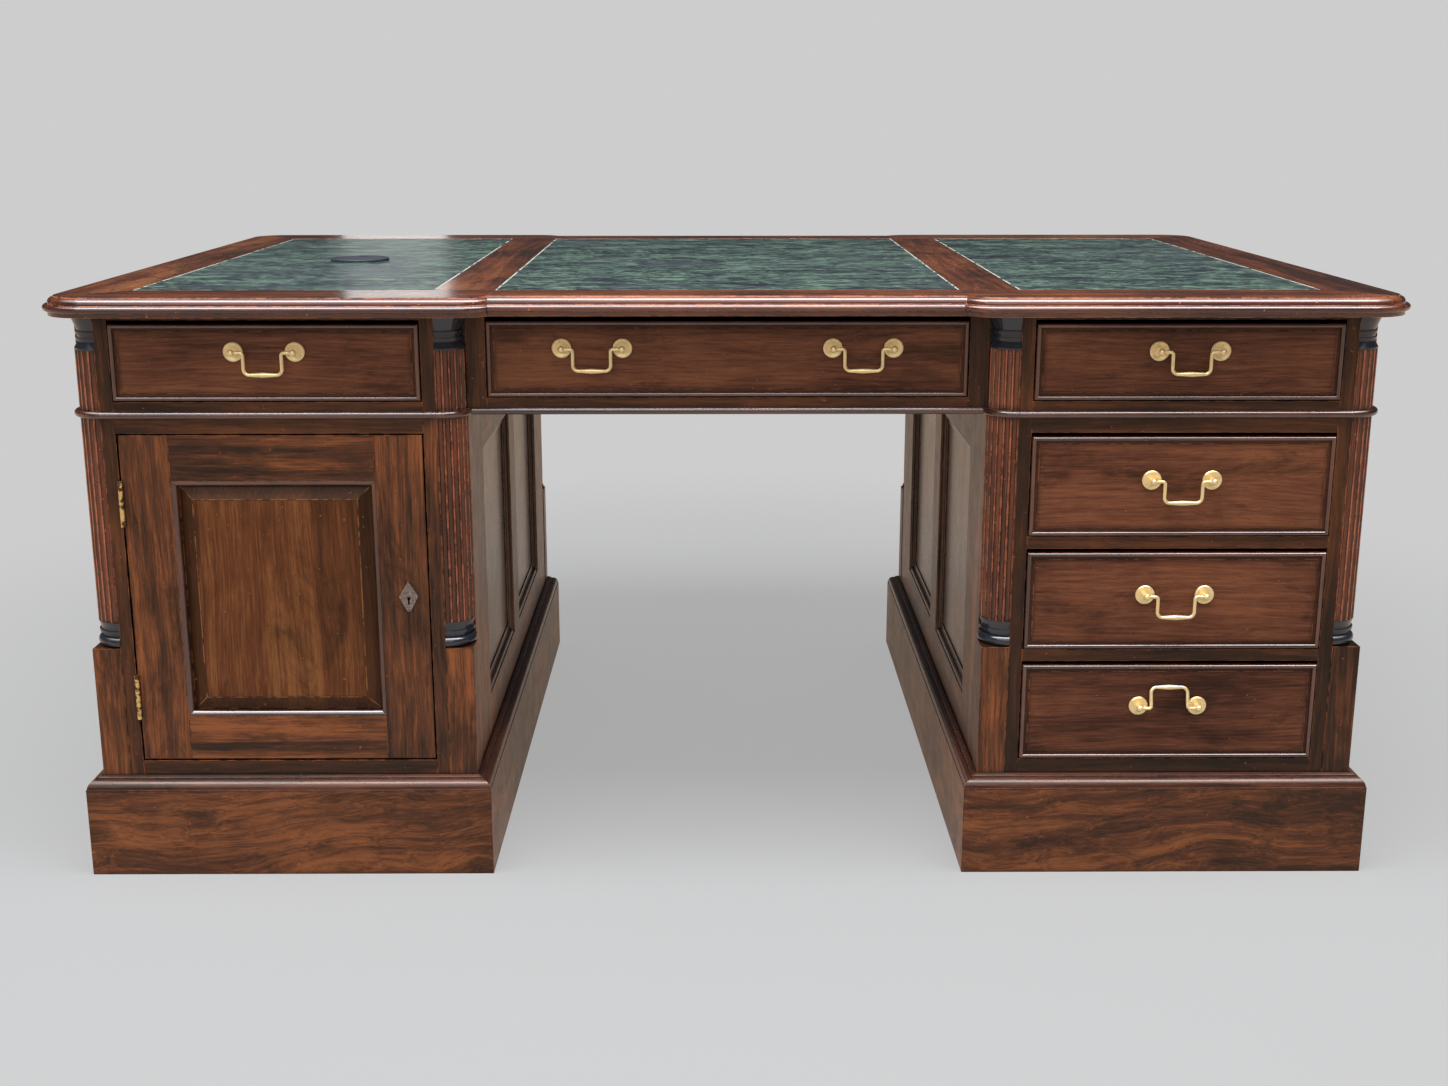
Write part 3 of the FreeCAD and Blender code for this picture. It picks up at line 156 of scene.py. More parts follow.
class Recipe:
    """The nodes that feed one shader of a material or of the world."""

    def __init__(self, owner, shader="Principled BSDF"):
        owner.use_nodes = True
        self.owner = owner
        self.nodes = owner.node_tree.nodes
        self.links = owner.node_tree.links
        self.shader = self.nodes[shader]

    def add(self, kind, settings, *values, output=0, **named):
        """Adds a node, gives its settings, then its sockets' values or wires, in order or by name."""
        node = self.nodes.new("ShaderNode" + kind)
        for key, value in settings.items():
            if key == "stops":
                self.set_stops(node.color_ramp.elements, value)
            else:
                setattr(node, key, value)
        in_use = [socket for socket in node.inputs if socket.enabled]
        for socket, value in zip(in_use, values):
            self.give(socket, value)
        for key, value in named.items():
            self.give(node.inputs[key], value)
        return Wire(self, node.outputs[output])

    def set_stops(self, elements, stops):
        """Gives a colour ramp its stops, each a place and a colour."""
        while len(elements) < len(stops):
            elements.new(0.5)
        for element, (place, colour) in zip(elements, stops):
            element.position = place
            element.color = (*colour, 1)

    def give(self, socket, value):
        if isinstance(value, Wire):
            self.links.new(value.socket, socket)
        elif socket.type == "RGBA" and len(value) == 3:
            socket.default_value = (*value, 1)
        else:
            socket.default_value = value

    def surface(self, **values):
        """Sets the shader's own sockets. An underscore stands for a space."""
        for key, value in values.items():
            self.give(self.shader.inputs[key.replace("_", " ")], value)
        return self.owner

    def mix(self, factor, low, high):
        """A colour between two others."""
        return self.add("Mix", {"data_type": "RGBA"}, factor, low, high, output=MIXED_COLOUR)

    def between(self, factor, low, high):
        """A number between two others."""
        return self.add("MapRange", {}, factor, 0.0, 1.0, low, high)

    def place(self):
        """Where a point lies on the desk, in metres."""
        return self.add("TexCoord", {}, output=OBJECT)

    def axis(self, vector, number):
        return self.add("SeparateXYZ", {}, vector, output=number)

    def stretch(self, vector, scale):
        return self.add("VectorMath", {"operation": "MULTIPLY"}, vector, scale)

    def noise(self, vector, scale=1.0, detail=3.0, roughness=0.55, distortion=0.0):
        return self.add("TexNoise", {}, Vector=vector, Scale=scale, Detail=detail, Roughness=roughness,
                        Distortion=distortion)

    def bump(self, height, depth, strength=1.0):
        return self.add("Bump", {}, Height=height, Distance=depth, Strength=strength)


sweep = Recipe(bpy.data.materials.new("studio_floor"))
reach = sweep.add("VectorMath", {"operation": "LENGTH"}, sweep.place(), output=LENGTH)
far = reach.ramp(*FLOOR_FADE)
warmth = sweep.mix(sweep.add("LightPath", {}, output=GLOSSY_RAY), WHITE, FLOOR_SHEEN)
glow = sweep.mix(sweep.between(far, FLOOR_GLOW, BACKDROP), BLACK, warmth)
sweep.surface(Base_Color=sweep.mix(far, (FLOOR_GREY,) * 3, BLACK), Roughness=1.0, Specular_IOR_Level=0.0,
              Emission_Color=glow, Emission_Strength=1.0)
bpy.ops.object.select_all(action="DESELECT")
bpy.ops.mesh.primitive_plane_add(size=2 * FLOOR_HALF, location=(0, 0, 0))
floor = bpy.context.object
floor.name = "studio_floor"
floor.data.materials.append(sweep.owner)

room = Recipe(bpy.data.worlds.new("studio"), "Background")
heading = room.add("TexCoord", {}, output=GENERATED)
bright = room.axis(heading, Z).ramp(*CEILING_RISE) * (1.0 - room.axis(heading, Y).ramp(*CEILING_BACK))
ceiling = room.between(bright, ROOM_SHEEN, CEILING_SHEEN)
unseen = room.between(room.add("LightPath", {}, output=GLOSSY_RAY), ROOM_LIGHT, ceiling)
seen = room.between(room.add("LightPath", {}, output=CAMERA_RAY), unseen, BACKDROP)
bpy.context.scene.world = room.surface(Color=WHITE, Strength=seen)


def softbox(name, place, aim, wide, high, power, colour=WHITE, mirrored=True):
    """A rectangular light that faces a point. Polish mirrors it or not."""
    data = bpy.data.lights.new(name, "AREA")
    data.shape = "RECTANGLE"
    data.size = wide
    data.size_y = high
    data.energy = power
    data.color = colour
    lamp = bpy.data.objects.new(name, data)
    lamp.location = place
    lamp.visible_camera = False
    lamp.visible_glossy = mirrored
    lamp.rotation_euler = (Vector(aim) - Vector(place)).to_track_quat("-Z", "Y").to_euler()
    bpy.context.scene.collection.objects.link(lamp)


softbox("overhead", place=(0.1, -1.1, 3.0), aim=(0.1, -1.0, 0), wide=3.8, high=1.4, power=140,
        colour=(0.95, 0.97, 1.0))
softbox("front", place=(-0.6, -4.2, 2.4), aim=(0, 0, 0.4), wide=4.0, high=2.0, power=38)
softbox("left_window", place=(-3.4, -1.2, 1.5), aim=(-0.5, 0, 0.5), wide=1.6, high=1.8, power=55,
        colour=(0.84, 0.92, 1.0), mirrored=False)
softbox("right_window", place=(3.4, -1.0, 1.5), aim=(0.5, 0, 0.5), wide=1.0, high=1.8, power=30,
        colour=(0.92, 0.96, 1.0), mirrored=False)
softbox("back_window", place=(-1.08, 3.2, 1.12), aim=(-0.6, 0, 0.78), wide=0.34, high=0.4, power=0.5)

# ---- Plinths ----
# Each pedestal stands on four mahogany boards with swirling grain, mitred at the corners, with glued
# blocks inside. A darker ogee moulding is pinned along the top of each board. Every board of the desk
# is cut from its own piece of timber, so the figure starts afresh at each joint.

TIMBER_SPREAD = 3.0
WELD = 100000
FLAT = math.radians(0.3)
BEVEL_ANGLE = 32
PLINTH_PARTS = 12
MOULDING_EDGE = 0.0003
PLINTH_MOULDINGS = {first + part for first in (0, PLINTH_PARTS) for part in range(4, 8)}
PLINTH_BOARDS = set(range(2 * PLINTH_PARTS)) - PLINTH_MOULDINGS
ALONG, ACROSS = 0, 1

# How fine each feature of the wood is, in waves a metre: along the grain and twice across it, or every way.
SWAY = (2.4, 5, 5)
TURN = (3.8, 6, 6)
FIGURE = (1.3, 16, 16)
STREAKS = (3.0, 85, 85)
LINES = (14, 330, 330)
PORES = (55, 1300, 1300)
STAINS = (5, 14, 14)
CLOUDS = 5.0
BLOTCHES = 24.0
WEAR_AND_HIGHLIGHT_GAPS = 70.0
PITS = 85.0
NICKS = 170.0

# How much each feature lightens or darkens the wood.
MEAN = 0.5
FIGURE_SHARE = 1.1
STREAK_SHARE = 0.8
LINE_SHARE = 0.95
CLOUD_SHARE = 0.7
PLANK_SHARE = 0.2
PLANK_START = 0.37        # of a plank's width, from the middle of the panel to the first joint
SHADES = (0.24, 0.5, 0.78)        # the tones at which the dark, middle and light colours lie
PORE_SHARE = 0.5
SHADOW_REACH = 0.009
SHADOW_SHARE = 0.85
STAIN_SHARE = 0.65
BLACKENED = (0.30, 0.40, 0.50)
MARGIN_WOBBLE = 0.003
MOULDING_STEP = 0.001
MOULDED_EDGE_SHADE = 0.6
WEAR_AND_HIGHLIGHT_GAIN = 1.5
WEAR_AND_HIGHLIGHT_SHARE = 0.6
NICK_SHARE = 0.5

# The surface of the polish.
ROUGH_SPREAD = 0.3
LINE_HEIGHT = 0.5
PORE_DEPTH = 0.8
PIT_DEPTH = 3
BUMP_DEPTH = 0.0002
BUMP_STRENGTH = 0.3


def split_parts(mesh):
    """Each vertex's rounded place, and the number of the closed part that each triangle belongs to.

    The triangles follow each other part by part. A part ends where all its edges have been passed both ways.
    """
    keys = [tuple(round(c * WELD) for c in vertex.co) for vertex in mesh.vertices]
    numbers = []
    open_edges = {}
    part = 0
    for polygon in mesh.polygons:
        corners = [keys[index] for index in polygon.vertices]
        for first, second in zip(corners, corners[1:] + corners[:1]):
            if first != second:
                ends = (min(first, second), max(first, second))
                turns = open_edges.pop(ends, 0) + (1 if first < second else -1)
                if turns:
                    open_edges[ends] = turns
        numbers.append(part)
        if not open_edges:
            part += 1
    return keys, numbers


def parts_of(name, node_name, material, chosen=None, edge=0.0006, crease=35):
    """A copy of a node's chosen parts, with eased edges and the grain along each part.

    Each point keeps its place in its own board, the longest way first. The grain starts at a random place,
    middle is measured from the board's middle, and half is half the board's size. A board has its own tone.
    """
    points, faces, grain, middle, half, tones = [], [], [], [], [], []
    node = frame["nodes"][node_name]
    keys, numbers = split_parts(node.data)
    places = {}
    spans = {}
    for polygon, number in zip(node.data.polygons, numbers):
        if chosen is not None and number not in chosen:
            continue
        face = []
        for index in polygon.vertices:
            key = (number, keys[index])
            if key not in places:
                places[key] = len(points)
                points.append(node.data.vertices[index].co.copy())
                spans.setdefault(number, []).append(points[-1])
            face.append(places[key])
        if len(set(face)) == 3:
            faces.append(face)
    for number, corners in spans.items():
        timber = random.Random(f"{node_name} {number}")
        low = [min(point[axis] for point in corners) for axis in range(3)]
        size = [max(point[axis] for point in corners) - low[axis] for axis in range(3)]
        order = sorted(range(3), key=lambda axis: -size[axis])
        shift = [timber.uniform(0, TIMBER_SPREAD) for axis in range(3)]
        tone = timber.uniform(-1, 1)
        for point in corners:
            grain.append([point[axis] + shift[place] for place, axis in enumerate(order)])
            middle.append([point[axis] - low[axis] - size[axis] / 2 for axis in order])
            half.append([size[axis] / 2 for axis in order])
            tones.append(tone)
    mesh = bpy.data.meshes.new(name)
    mesh.from_pydata(points, [], faces)
    for label, vectors in (("grain", grain), ("middle", middle), ("half", half)):
        values = [value for vector in vectors for value in vector]
        mesh.attributes.new(label, "FLOAT_VECTOR", "POINT").data.foreach_set("vector", values)
    mesh.attributes.new("tone", "FLOAT", "POINT").data.foreach_set("value", tones)
    piece = bpy.data.objects.new(name, mesh)
    bpy.context.scene.collection.objects.link(piece)
    mesh.materials.append(material)
    ease_edges(piece, edge, crease)
    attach(piece, node["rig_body"])
    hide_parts(node_name)


def ease_edges(piece, width, crease):
    """Merges flat triangles into whole faces, rounds the sharp edges and marks where they are."""
    bpy.ops.object.select_all(action="DESELECT")
    piece.select_set(True)
    bpy.context.view_layer.objects.active = piece
    bpy.ops.object.mode_set(mode="EDIT")
    bpy.ops.mesh.select_all(action="SELECT")
    bpy.ops.mesh.dissolve_limited(angle_limit=FLAT)
    bpy.ops.object.mode_set(mode="OBJECT")
    bevel = piece.modifiers.new("eased", "BEVEL")
    bevel.width = width
    bevel.segments = 2
    bevel.limit_method = "ANGLE"
    bevel.angle_limit = math.radians(min(BEVEL_ANGLE, crease))
    bevel.use_clamp_overlap = False
    bevel.material = 1
    piece.data.materials.append(piece.data.materials[0])
    bpy.ops.object.modifier_apply(modifier="eased")
    marks = piece.data.attributes.new("edge", "FLOAT", "CORNER")
    values = []
    for polygon in piece.data.polygons:
        values += [float(polygon.material_index == 1)] * len(polygon.vertices)
        polygon.material_index = 0
    marks.data.foreach_set("value", values)
    piece.data.materials.pop(index=1)
    bpy.ops.object.shade_smooth_by_angle(angle=math.radians(crease))
    level = piece.modifiers.new("level", "WEIGHTED_NORMAL")
    level.keep_sharp = True
    bpy.ops.object.modifier_apply(modifier="level")


def mahogany(name, dark, mid, light, figure=1.0, wave=0.016, swirl=0.4, spread=0.09, planks=0.0,
             border=(0.0, 0.0018), margin_dark=0.6, recess=(0.08, 0.55), shaded_below=None, rough=0.36,
             shine=0.35, tint=(1, 0.86, 0.74), coat=0.15, gloss=0.14, coat_index=1.5):
    """Polished mahogany, in colours from its darkest streaks to its palest figure.

    border: the dark margin along a board's edges fades out between these two distances from them.
    recess: a spot as shut in as the first number gets no painted shade, and as the second gets full painted
    shade.
    planks: how wide the strips are that a panel is glued up from, if it is.
    shaded_below: the height below which a moulded edge is painted darker as shade, if it has one.
    """
    wood = Recipe(bpy.data.materials.new(name))
    grain = wood.add("Attribute", {"attribute_name": "grain"}, output=VECTOR)
    middle = wood.add("Attribute", {"attribute_name": "middle"}, output=VECTOR)
    half = wood.add("Attribute", {"attribute_name": "half"}, output=VECTOR)
    tone = wood.add("Attribute", {"attribute_name": "tone"}, output=NUMBER)
    edge = wood.add("Attribute", {"attribute_name": "edge"}, output=NUMBER)
    place = wood.place()

    # The grain bends a little along the board. It has broad figure, streaks, fine lines and pores.
    sway = wood.noise(wood.stretch(grain, SWAY), detail=2.0, roughness=0.5)
    turn = wood.noise(wood.stretch(grain, TURN), scale=1.7, detail=2.0)
    bend = wood.add("CombineXYZ", {}, 0.0, (sway - MEAN) * wave * 2, (turn - MEAN) * wave)
    bent = wood.add("VectorMath", {"operation": "ADD"}, grain, bend)
    broad = wood.noise(wood.stretch(bent, FIGURE), distortion=swirl)
    streak = wood.noise(wood.stretch(bent, STREAKS), detail=4.0, roughness=0.7)
    fine = wood.noise(wood.stretch(bent, LINES), detail=4.0, roughness=0.75)
    pores = wood.noise(wood.stretch(bent, PORES), detail=1.0, roughness=0.5)
    cloud = wood.noise(place, CLOUDS, detail=4.0, roughness=0.6)
    blotch = wood.noise(place, BLOTCHES, detail=5.0, roughness=0.7)
    value = (broad - MEAN) * FIGURE_SHARE + (streak - MEAN) * STREAK_SHARE
    value = value * figure + (fine - MEAN) * LINE_SHARE
    value = value + (cloud - MEAN) * CLOUD_SHARE + tone * spread + MEAN
    if planks:
        plank = (wood.axis(middle, ACROSS) + PLANK_START * planks) // planks
        plank_tone = wood.add("TexWhiteNoise", {"noise_dimensions": "1D"}, W=plank)
        value = value + (plank_tone - MEAN) * PLANK_SHARE
    colour = wood.add("ValToRGB", {"stops": list(zip(SHADES, (dark, mid, light)))}, value)
    colour = wood.mix(pores.ramp(0.60, 0.74) * PORE_SHARE, colour, dark)

    # Old polish and dirt have gone dark in stains. The board's margin is darker: dirt in its joints, a wider
    # dark border on the drawer fronts, and painted shade over the door fields' bevels. Recesses get painted
    # shade.
    black = tuple(channel * share for channel, share in zip(dark, BLACKENED))
    stain = wood.noise(wood.stretch(bent, STAINS), detail=6.0, roughness=0.72, distortion=0.6)
    stain = stain.ramp(0.51, 0.68)
    inward = wood.add("VectorMath", {"operation": "ABSOLUTE"}, middle)
    margin = wood.add("VectorMath", {"operation": "SUBTRACT"}, half, inward)
    nearest = wood.axis(margin, ALONG).least(wood.axis(margin, ACROSS))
    band = 1.0 - (nearest + (blotch - MEAN) * MARGIN_WOBBLE).ramp(*border)
    shut = 1.0 - wood.add("AmbientOcclusion", {"samples": 4}, Distance=SHADOW_REACH, output=OCCLUSION)
    dirt_and_shade = (shut.ramp(*recess) * SHADOW_SHARE).most(stain * STAIN_SHARE).most(band * margin_dark)
    colour = wood.mix(dirt_and_shade, colour, black)
    # Below that height a moulded edge is painted darker as shade.
    if shaded_below:
        flat = wood.axis(place, Z).ramp(shaded_below - MOULDING_STEP, shaded_below)
        colour = wood.mix((1.0 - flat) * MOULDED_EDGE_SHADE, colour, dark)

    # Edges are pale, partly from real rubbing and partly as a painted highlight along them, and small nicks
    # and pits show in the polish.
    pale = tuple(channel * WEAR_AND_HIGHLIGHT_GAIN for channel in light)
    rubbed = edge * wood.noise(place, WEAR_AND_HIGHLIGHT_GAPS).ramp(0.42, 0.58)
    nicks = wood.noise(place, NICKS, detail=1.0).ramp(0.75, 0.77)
    colour = wood.mix((rubbed * WEAR_AND_HIGHLIGHT_SHARE).most(nicks * NICK_SHARE), colour, pale)
    pits = wood.noise(place, PITS, detail=1.0).ramp(0.70, 0.76)
    height = fine * LINE_HEIGHT - pores.ramp(0.60, 0.78) * PORE_DEPTH - pits * PIT_DEPTH
    return wood.surface(
        Base_Color=colour, Roughness=(blotch - MEAN) * ROUGH_SPREAD + rough,
        Normal=wood.bump(height, BUMP_DEPTH, BUMP_STRENGTH), Specular_IOR_Level=shine,
        Specular_Tint=tint, Coat_Weight=coat, Coat_Roughness=gloss, Coat_IOR=coat_index)


PLINTH_WOOD = mahogany("plinth_mahogany", dark=(0.026, 0.011, 0.006), mid=(0.098, 0.029, 0.011),
                       light=(0.240, 0.075, 0.023), figure=0.95, wave=0.09, swirl=1.2)
OGEE_WOOD = mahogany("plinth_moulding_mahogany", dark=(0.022, 0.008, 0.005), mid=(0.070, 0.021, 0.011),
                     light=(0.130, 0.042, 0.022), margin_dark=0.0, recess=(0.04, 0.40), rough=0.30, coat=0.45)
parts_of("plinth_boards", "plinths", PLINTH_WOOD, PLINTH_BOARDS)
parts_of("plinth_mouldings", "plinths", OGEE_WOOD, PLINTH_MOULDINGS, MOULDING_EDGE)

# ---- Pedestal cases ----
# Upright posts and stiles of mahogany, joined to the rails between the drawers and round the door
# with glued tenons. The wood is dark and streaky, from years of wax and dust.

CASE_WOOD = mahogany("case_mahogany", dark=(0.022, 0.010, 0.006), mid=(0.100, 0.031, 0.012),
                     light=(0.265, 0.078, 0.023), figure=1.15, swirl=0.8)
parts_of("right_case", "right_pedestal_case", CASE_WOOD)
parts_of("left_case", "left_pedestal_case", CASE_WOOD)

# ---- Side panels ----
# The fielded mahogany panels of both pedestals' ends and of the kneehole, which float in grooves of
# the cases. They are paler than the cases and have a soft wax shine.

PANEL_WOOD = mahogany("panel_mahogany", dark=(0.022, 0.009, 0.005), mid=(0.080, 0.030, 0.015),
                      light=(0.180, 0.076, 0.036), rough=0.30, shine=0.5, coat=0.42)
parts_of("panels", "side_panels", PANEL_WOOD)

# ---- Drawer runners, dust boards and cupboard shelves ----
# Plain oiled boards of a paler wood, housed in the cases. They are never polished.

LINING_WOOD = mahogany("lining_wood", dark=(0.120, 0.060, 0.030), mid=(0.240, 0.130, 0.065),
                       light=(0.380, 0.230, 0.120), margin_dark=0.3, rough=0.55, coat=0.0)
parts_of("inside_boards", "runners_and_shelves", LINING_WOOD)

# ---- Quarter columns ----
# Turned mahogany shafts with cut flutes, redder than the cases, glued into the cases' corners. Each
# stands on a turned base and carries a turned capital, both ebonised and polished to a high gloss.

COLUMN_EDGE = 0.0008
# The flutes take strong painted shade as recesses.
COLUMN_WOOD = mahogany("column_mahogany", dark=(0.075, 0.018, 0.009), mid=(0.255, 0.063, 0.028),
                       light=(0.370, 0.112, 0.050), margin_dark=0.0, recess=(0.03, 0.32), rough=0.26, shine=0.5,
                       coat=0.8)
parts_of("column_shafts", "fluted_columns", COLUMN_WOOD, edge=COLUMN_EDGE)


def dress(node_name, material):
    """Gives a node of the frame its finish."""
    materials = frame["nodes"][node_name].data.materials
    materials.clear()
    materials.append(material)


EBONY_BLACK = (0.016, 0.020, 0.028)
RUBBED_BROWN = (0.040, 0.024, 0.017)
ebony = Recipe(bpy.data.materials.new("ebonised"))
rubbed = ebony.noise(ebony.place(), scale=60.0, detail=4.0, roughness=0.65)
EBONISED = ebony.surface(
    Base_Color=ebony.mix(rubbed.ramp(0.56, 0.74), EBONY_BLACK, RUBBED_BROWN), Roughness=rubbed * 0.2 + 0.12,
    Coat_Weight=0.8, Coat_Roughness=0.1)
dress("column_turnings", EBONISED)

# ---- Astragal bead ----
# A small half-round mahogany bead, dark and glossy, pinned round both pedestals and the kneehole
# rails between the frieze drawers and what is below them.

BEAD_EDGE = 0.0004
MOULDING_WOOD = mahogany("moulding_mahogany", dark=(0.020, 0.006, 0.004), mid=(0.065, 0.018, 0.010),
                         light=(0.130, 0.042, 0.022), margin_dark=0.0, rough=0.24, shine=0.9,
                         tint=(1, 0.92, 0.92), coat=1.0, coat_index=1.6)
parts_of("astragal_bead", "astragal", MOULDING_WOOD, edge=BEAD_EDGE)

# ---- Frieze ----
# The mahogany frame under the top, with posts, rails and linings that hold the six upper drawers. It
# ties the two pedestals together.

parts_of("frieze_boards", "frieze_frame", CASE_WOOD)

# ---- Drawers ----
# Each has a solid mahogany front with a dark cock bead pinned into its rebates, and a dovetailed box
# of plain lining wood behind it. The fronts are darkest along their margins.

ENDS = ("front", "back")
DRAWERS = ["frieze_left", "frieze_centre", "frieze_right"]
DRAWERS += ["pedestal_bottom", "pedestal_middle", "pedestal_top"]
DRAWER_FRONT = {0}
DRAWER_BEADS = {1, 2, 3, 4}
DRAWER_BOX = {5, 6, 7, 8}
FRONT_WOOD = mahogany("drawer_mahogany", dark=(0.040, 0.013, 0.007), mid=(0.124, 0.040, 0.020),
                      light=(0.212, 0.074, 0.032), figure=0.6, spread=0.045, border=(0.009, 0.016),
                      margin_dark=0.5, shine=0.2, coat=0.12)
for end in ENDS:
    for drawer in DRAWERS:
        node_name = f"{end}_{drawer}_drawer"
        parts_of(node_name + "_front", node_name, FRONT_WOOD, DRAWER_FRONT)
        parts_of(node_name + "_bead", node_name, MOULDING_WOOD, DRAWER_BEADS, MOULDING_EDGE)
        parts_of(node_name + "_box", node_name, LINING_WOOD, DRAWER_BOX)

# ---- Pulls ----
# Cast brass bails that hang between two ball posts, each on a round rose, with a nut behind the
# drawer front. The brass is satin, with a thin brown tarnish in places.

BRIGHT_BRASS = (1.0, 0.78, 0.40)
TARNISHED_BRASS = (0.74, 0.48, 0.20)
brass = Recipe(bpy.data.materials.new("satin_brass"))
tarnish = brass.noise(brass.place(), scale=160.0, detail=4.0, roughness=0.6)
BRASS = brass.surface(Base_Color=brass.mix(tarnish.ramp(0.52, 0.82), BRIGHT_BRASS, TARNISHED_BRASS),
                      Metallic=0.6, Roughness=0.27 + tarnish * 0.14)
for node_name in frame["nodes"]:
    if node_name.endswith("_pull") or "_bail" in node_name:
        dress(node_name, BRASS)

# ---- Cupboard doors ----
# A mahogany frame with tenoned stiles and rails. A raised and fielded panel of three or four glued
# widths floats in it, and a dark mitred moulding runs round the panel.

DOOR_FIELD = {0}
DOOR_MOULDING = {1, 2, 3, 4}
FIELD_EDGE = 0.0008
FIELD_CREASE = 15
PLANK_WIDE = 0.074
# The fields' bevels, within this band of a field's edge, are painted darker as shade.
BEVEL_SHADE_BAND = (0.0262, 0.0272)
DOOR_WOOD = mahogany("door_panel_mahogany", dark=(0.050, 0.017, 0.006), mid=(0.120, 0.036, 0.012),
                     light=(0.220, 0.082, 0.025), figure=0.8, planks=PLANK_WIDE, border=BEVEL_SHADE_BAND,
                     shine=0.22, coat=0.05)
for end in ENDS:
    door = end + "_door"
    parts_of(door + "_frame", door, CASE_WOOD)
    parts_of(door + "_field", door + "_panel", DOOR_WOOD, DOOR_FIELD, FIELD_EDGE, FIELD_CREASE)
    parts_of(door + "_moulding", door + "_panel", MOULDING_WOOD, DOOR_MOULDING, MOULDING_EDGE)

# ---- Hinges ----
# Two brass butt hinges on each door, let into the stile and the case and held by screws in their
# leaves. The knuckles stand proud, gone brown between bright rubbed rings.

HINGE_HALVES = {0, 1}
METAL_EDGE = 0.00015
RUBBED_BRASS = (0.95, 0.66, 0.26)
BROWN_BRASS = (0.14, 0.07, 0.028)
aged = Recipe(bpy.data.materials.new("aged_brass"))
spots = aged.noise(aged.place(), scale=130.0, roughness=0.6)
AGED = aged.surface(Base_Color=aged.mix(spots.ramp(0.48, 0.57), RUBBED_BRASS, BROWN_BRASS), Metallic=0.8,
                    Roughness=0.30 + spots * 0.2)
dress("hinge_leaves", AGED)
for end in ENDS:
    parts_of(end + "_door_hinge_halves", end + "_door_fittings", AGED, HINGE_HALVES, METAL_EDGE)

# ---- Locks ----
# A pewter-grey lock case on the back of each door's stile, a kite-shaped escutcheon pinned on its
# front, and the brushed steel bolt that the key throws.

LOCK_CASE_AND_ESCUTCHEON = {2, 3}
PEWTER_GREY = (0.34, 0.27, 0.235)
SCUFFED_GREY = (0.15, 0.105, 0.09)
STEEL_DARK = (0.38, 0.38, 0.39)
STEEL_PALE = (0.54, 0.54, 0.55)
BRUSH_MARKS = (60, 900, 2400)
pewter = Recipe(bpy.data.materials.new("worn_pewter"))
scuffs = pewter.noise(pewter.place(), scale=300.0, detail=4.0, roughness=0.6)
PEWTER = pewter.surface(Base_Color=pewter.mix(scuffs.ramp(0.40, 0.68), PEWTER_GREY, SCUFFED_GREY),
                        Metallic=0.7, Roughness=0.36 + scuffs * 0.15)
steel = Recipe(bpy.data.materials.new("brushed_steel"))
brushing = steel.noise(steel.stretch(steel.place(), BRUSH_MARKS), detail=2.0, roughness=0.6)
STEEL = steel.surface(Base_Color=steel.mix(brushing, STEEL_DARK, STEEL_PALE), Metallic=1.0,
                      Roughness=0.25 + brushing * 0.2)
for end in ENDS:
    parts_of(end + "_door_lock", end + "_door_fittings", PEWTER, LOCK_CASE_AND_ESCUTCHEON, METAL_EDGE)
    dress(end + "_door_bolt", STEEL)

# ---- Top ----
# A frame of thick mahogany rails round three lined bays, with a moulded edge that breaks forward over
# the pedestals. It is redder than the rest, and it has the brightest polish.

TOP_EDGE = 0.0005
TOP_EASING = 0.0015
# The moulded edge below this flat is painted darker as shade, though it is the same wood.
TOP_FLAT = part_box("desktop_frame")[1][2] - TOP_EASING
TOP_WOOD = mahogany("top_mahogany", dark=(0.055, 0.013, 0.006), mid=(0.245, 0.060, 0.021),
                    light=(0.460, 0.155, 0.050), shaded_below=TOP_FLAT, rough=0.24, shine=0.5,
                    tint=(0.88, 0.90, 1), coat=0.9, gloss=0.17, coat_index=1.6)
parts_of("top_rails", "desktop_frame", TOP_WOOD, edge=TOP_EDGE)

# ---- Leather ----
# Three skivers of dark green leather, mottled in the dyeing, glued into the bays of the top level
# with the rails. A thin pale line is tooled just inside the border of each.

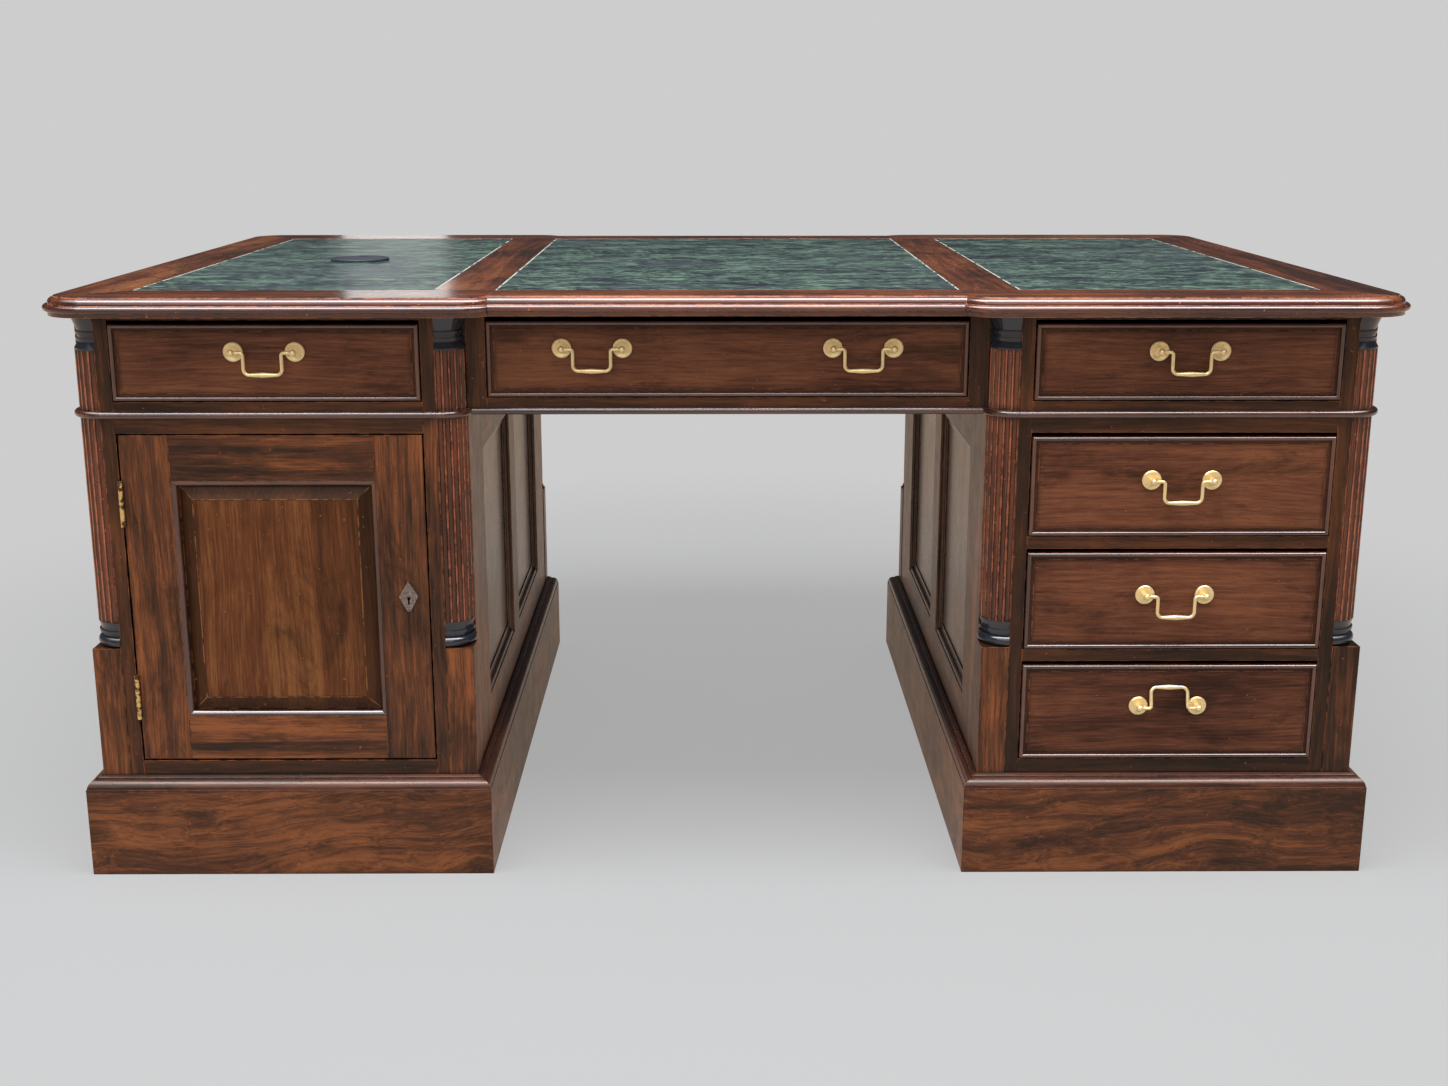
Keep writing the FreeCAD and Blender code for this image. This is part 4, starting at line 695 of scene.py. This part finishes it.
MIDDLE_HALF_WIDE = 0.300
SIDE_INNER = 0.375
SIDE_OUTER = 0.766
LEATHER_HALF_DEEP = 0.450
TOOLED_IN = 0.0022
TOOLED_HALF = (0.0008, 0.0013)
TOOLED_PALE = (0.75, 0.70, 0.62)
LEATHER_STOPS = [(0.43, (0.010, 0.011, 0.021)), (0.50, (0.029, 0.043, 0.045)), (0.57, (0.150, 0.235, 0.170))]
LEATHER_GREY = (0.09, 0.11, 0.12)
MARBLING = (11, 24, 1)
VEINS = (42, 80, 1)
PEBBLE_DEPTH = 0.0002
PEBBLE_STRENGTH = 0.3

leather = Recipe(bpy.data.materials.new("green_leather"))
spot = leather.place()
marble = leather.noise(leather.stretch(spot, MARBLING), detail=8.0, roughness=0.74, distortion=1.2)
veins = leather.noise(leather.stretch(spot, VEINS), detail=6.0, roughness=0.76, distortion=1.8)
green = leather.add("ValToRGB", {"stops": LEATHER_STOPS}, marble * 0.45 + veins * 0.55)
greyed = leather.noise(spot, scale=3.0, detail=4.0, roughness=0.6).ramp(0.45, 0.70)
green = leather.mix(greyed * 0.3, green, LEATHER_GREY)
across = abs(leather.axis(spot, X))
along = abs(leather.axis(spot, Y))
inset = abs(across - MIDDLE_HALF_WIDE).least(abs(across - SIDE_INNER)).least(abs(across - SIDE_OUTER))
inset = inset.least(abs(along - LEATHER_HALF_DEEP))
tooling = 1.0 - abs(inset - TOOLED_IN).ramp(*TOOLED_HALF)
unworn = leather.noise(spot, scale=30.0).ramp(0.42, 0.5)
green = leather.mix(tooling * unworn * 0.9, green, TOOLED_PALE)
pebble = leather.noise(spot, scale=900.0, detail=2.0)
LEATHER = leather.surface(Base_Color=green, Roughness=0.32 + (veins - MEAN) * 0.3,
                          Normal=leather.bump(pebble, PEBBLE_DEPTH, PEBBLE_STRENGTH), Specular_IOR_Level=0.5)
dress("leather_panels", LEATHER)

# ---- Cable grommet ----
# A blue-black plastic liner pushed into a bored hole in the left leather, with a cap that turns in it
# and has a notch for the cable.

BLUE_BLACK = (0.018, 0.024, 0.034)
DUSTY = (0.045, 0.050, 0.058)
plastic = Recipe(bpy.data.materials.new("grommet_plastic"))
dust = plastic.noise(plastic.place(), scale=90.0, detail=4.0, roughness=0.6)
PLASTIC = plastic.surface(Base_Color=plastic.mix(dust.ramp(0.45, 0.8), BLUE_BLACK, DUSTY),
                          Roughness=0.38 + dust * 0.14, Specular_IOR_Level=0.35)
dress("grommet_liner", PLASTIC)
dress("grommet_cap", PLASTIC)
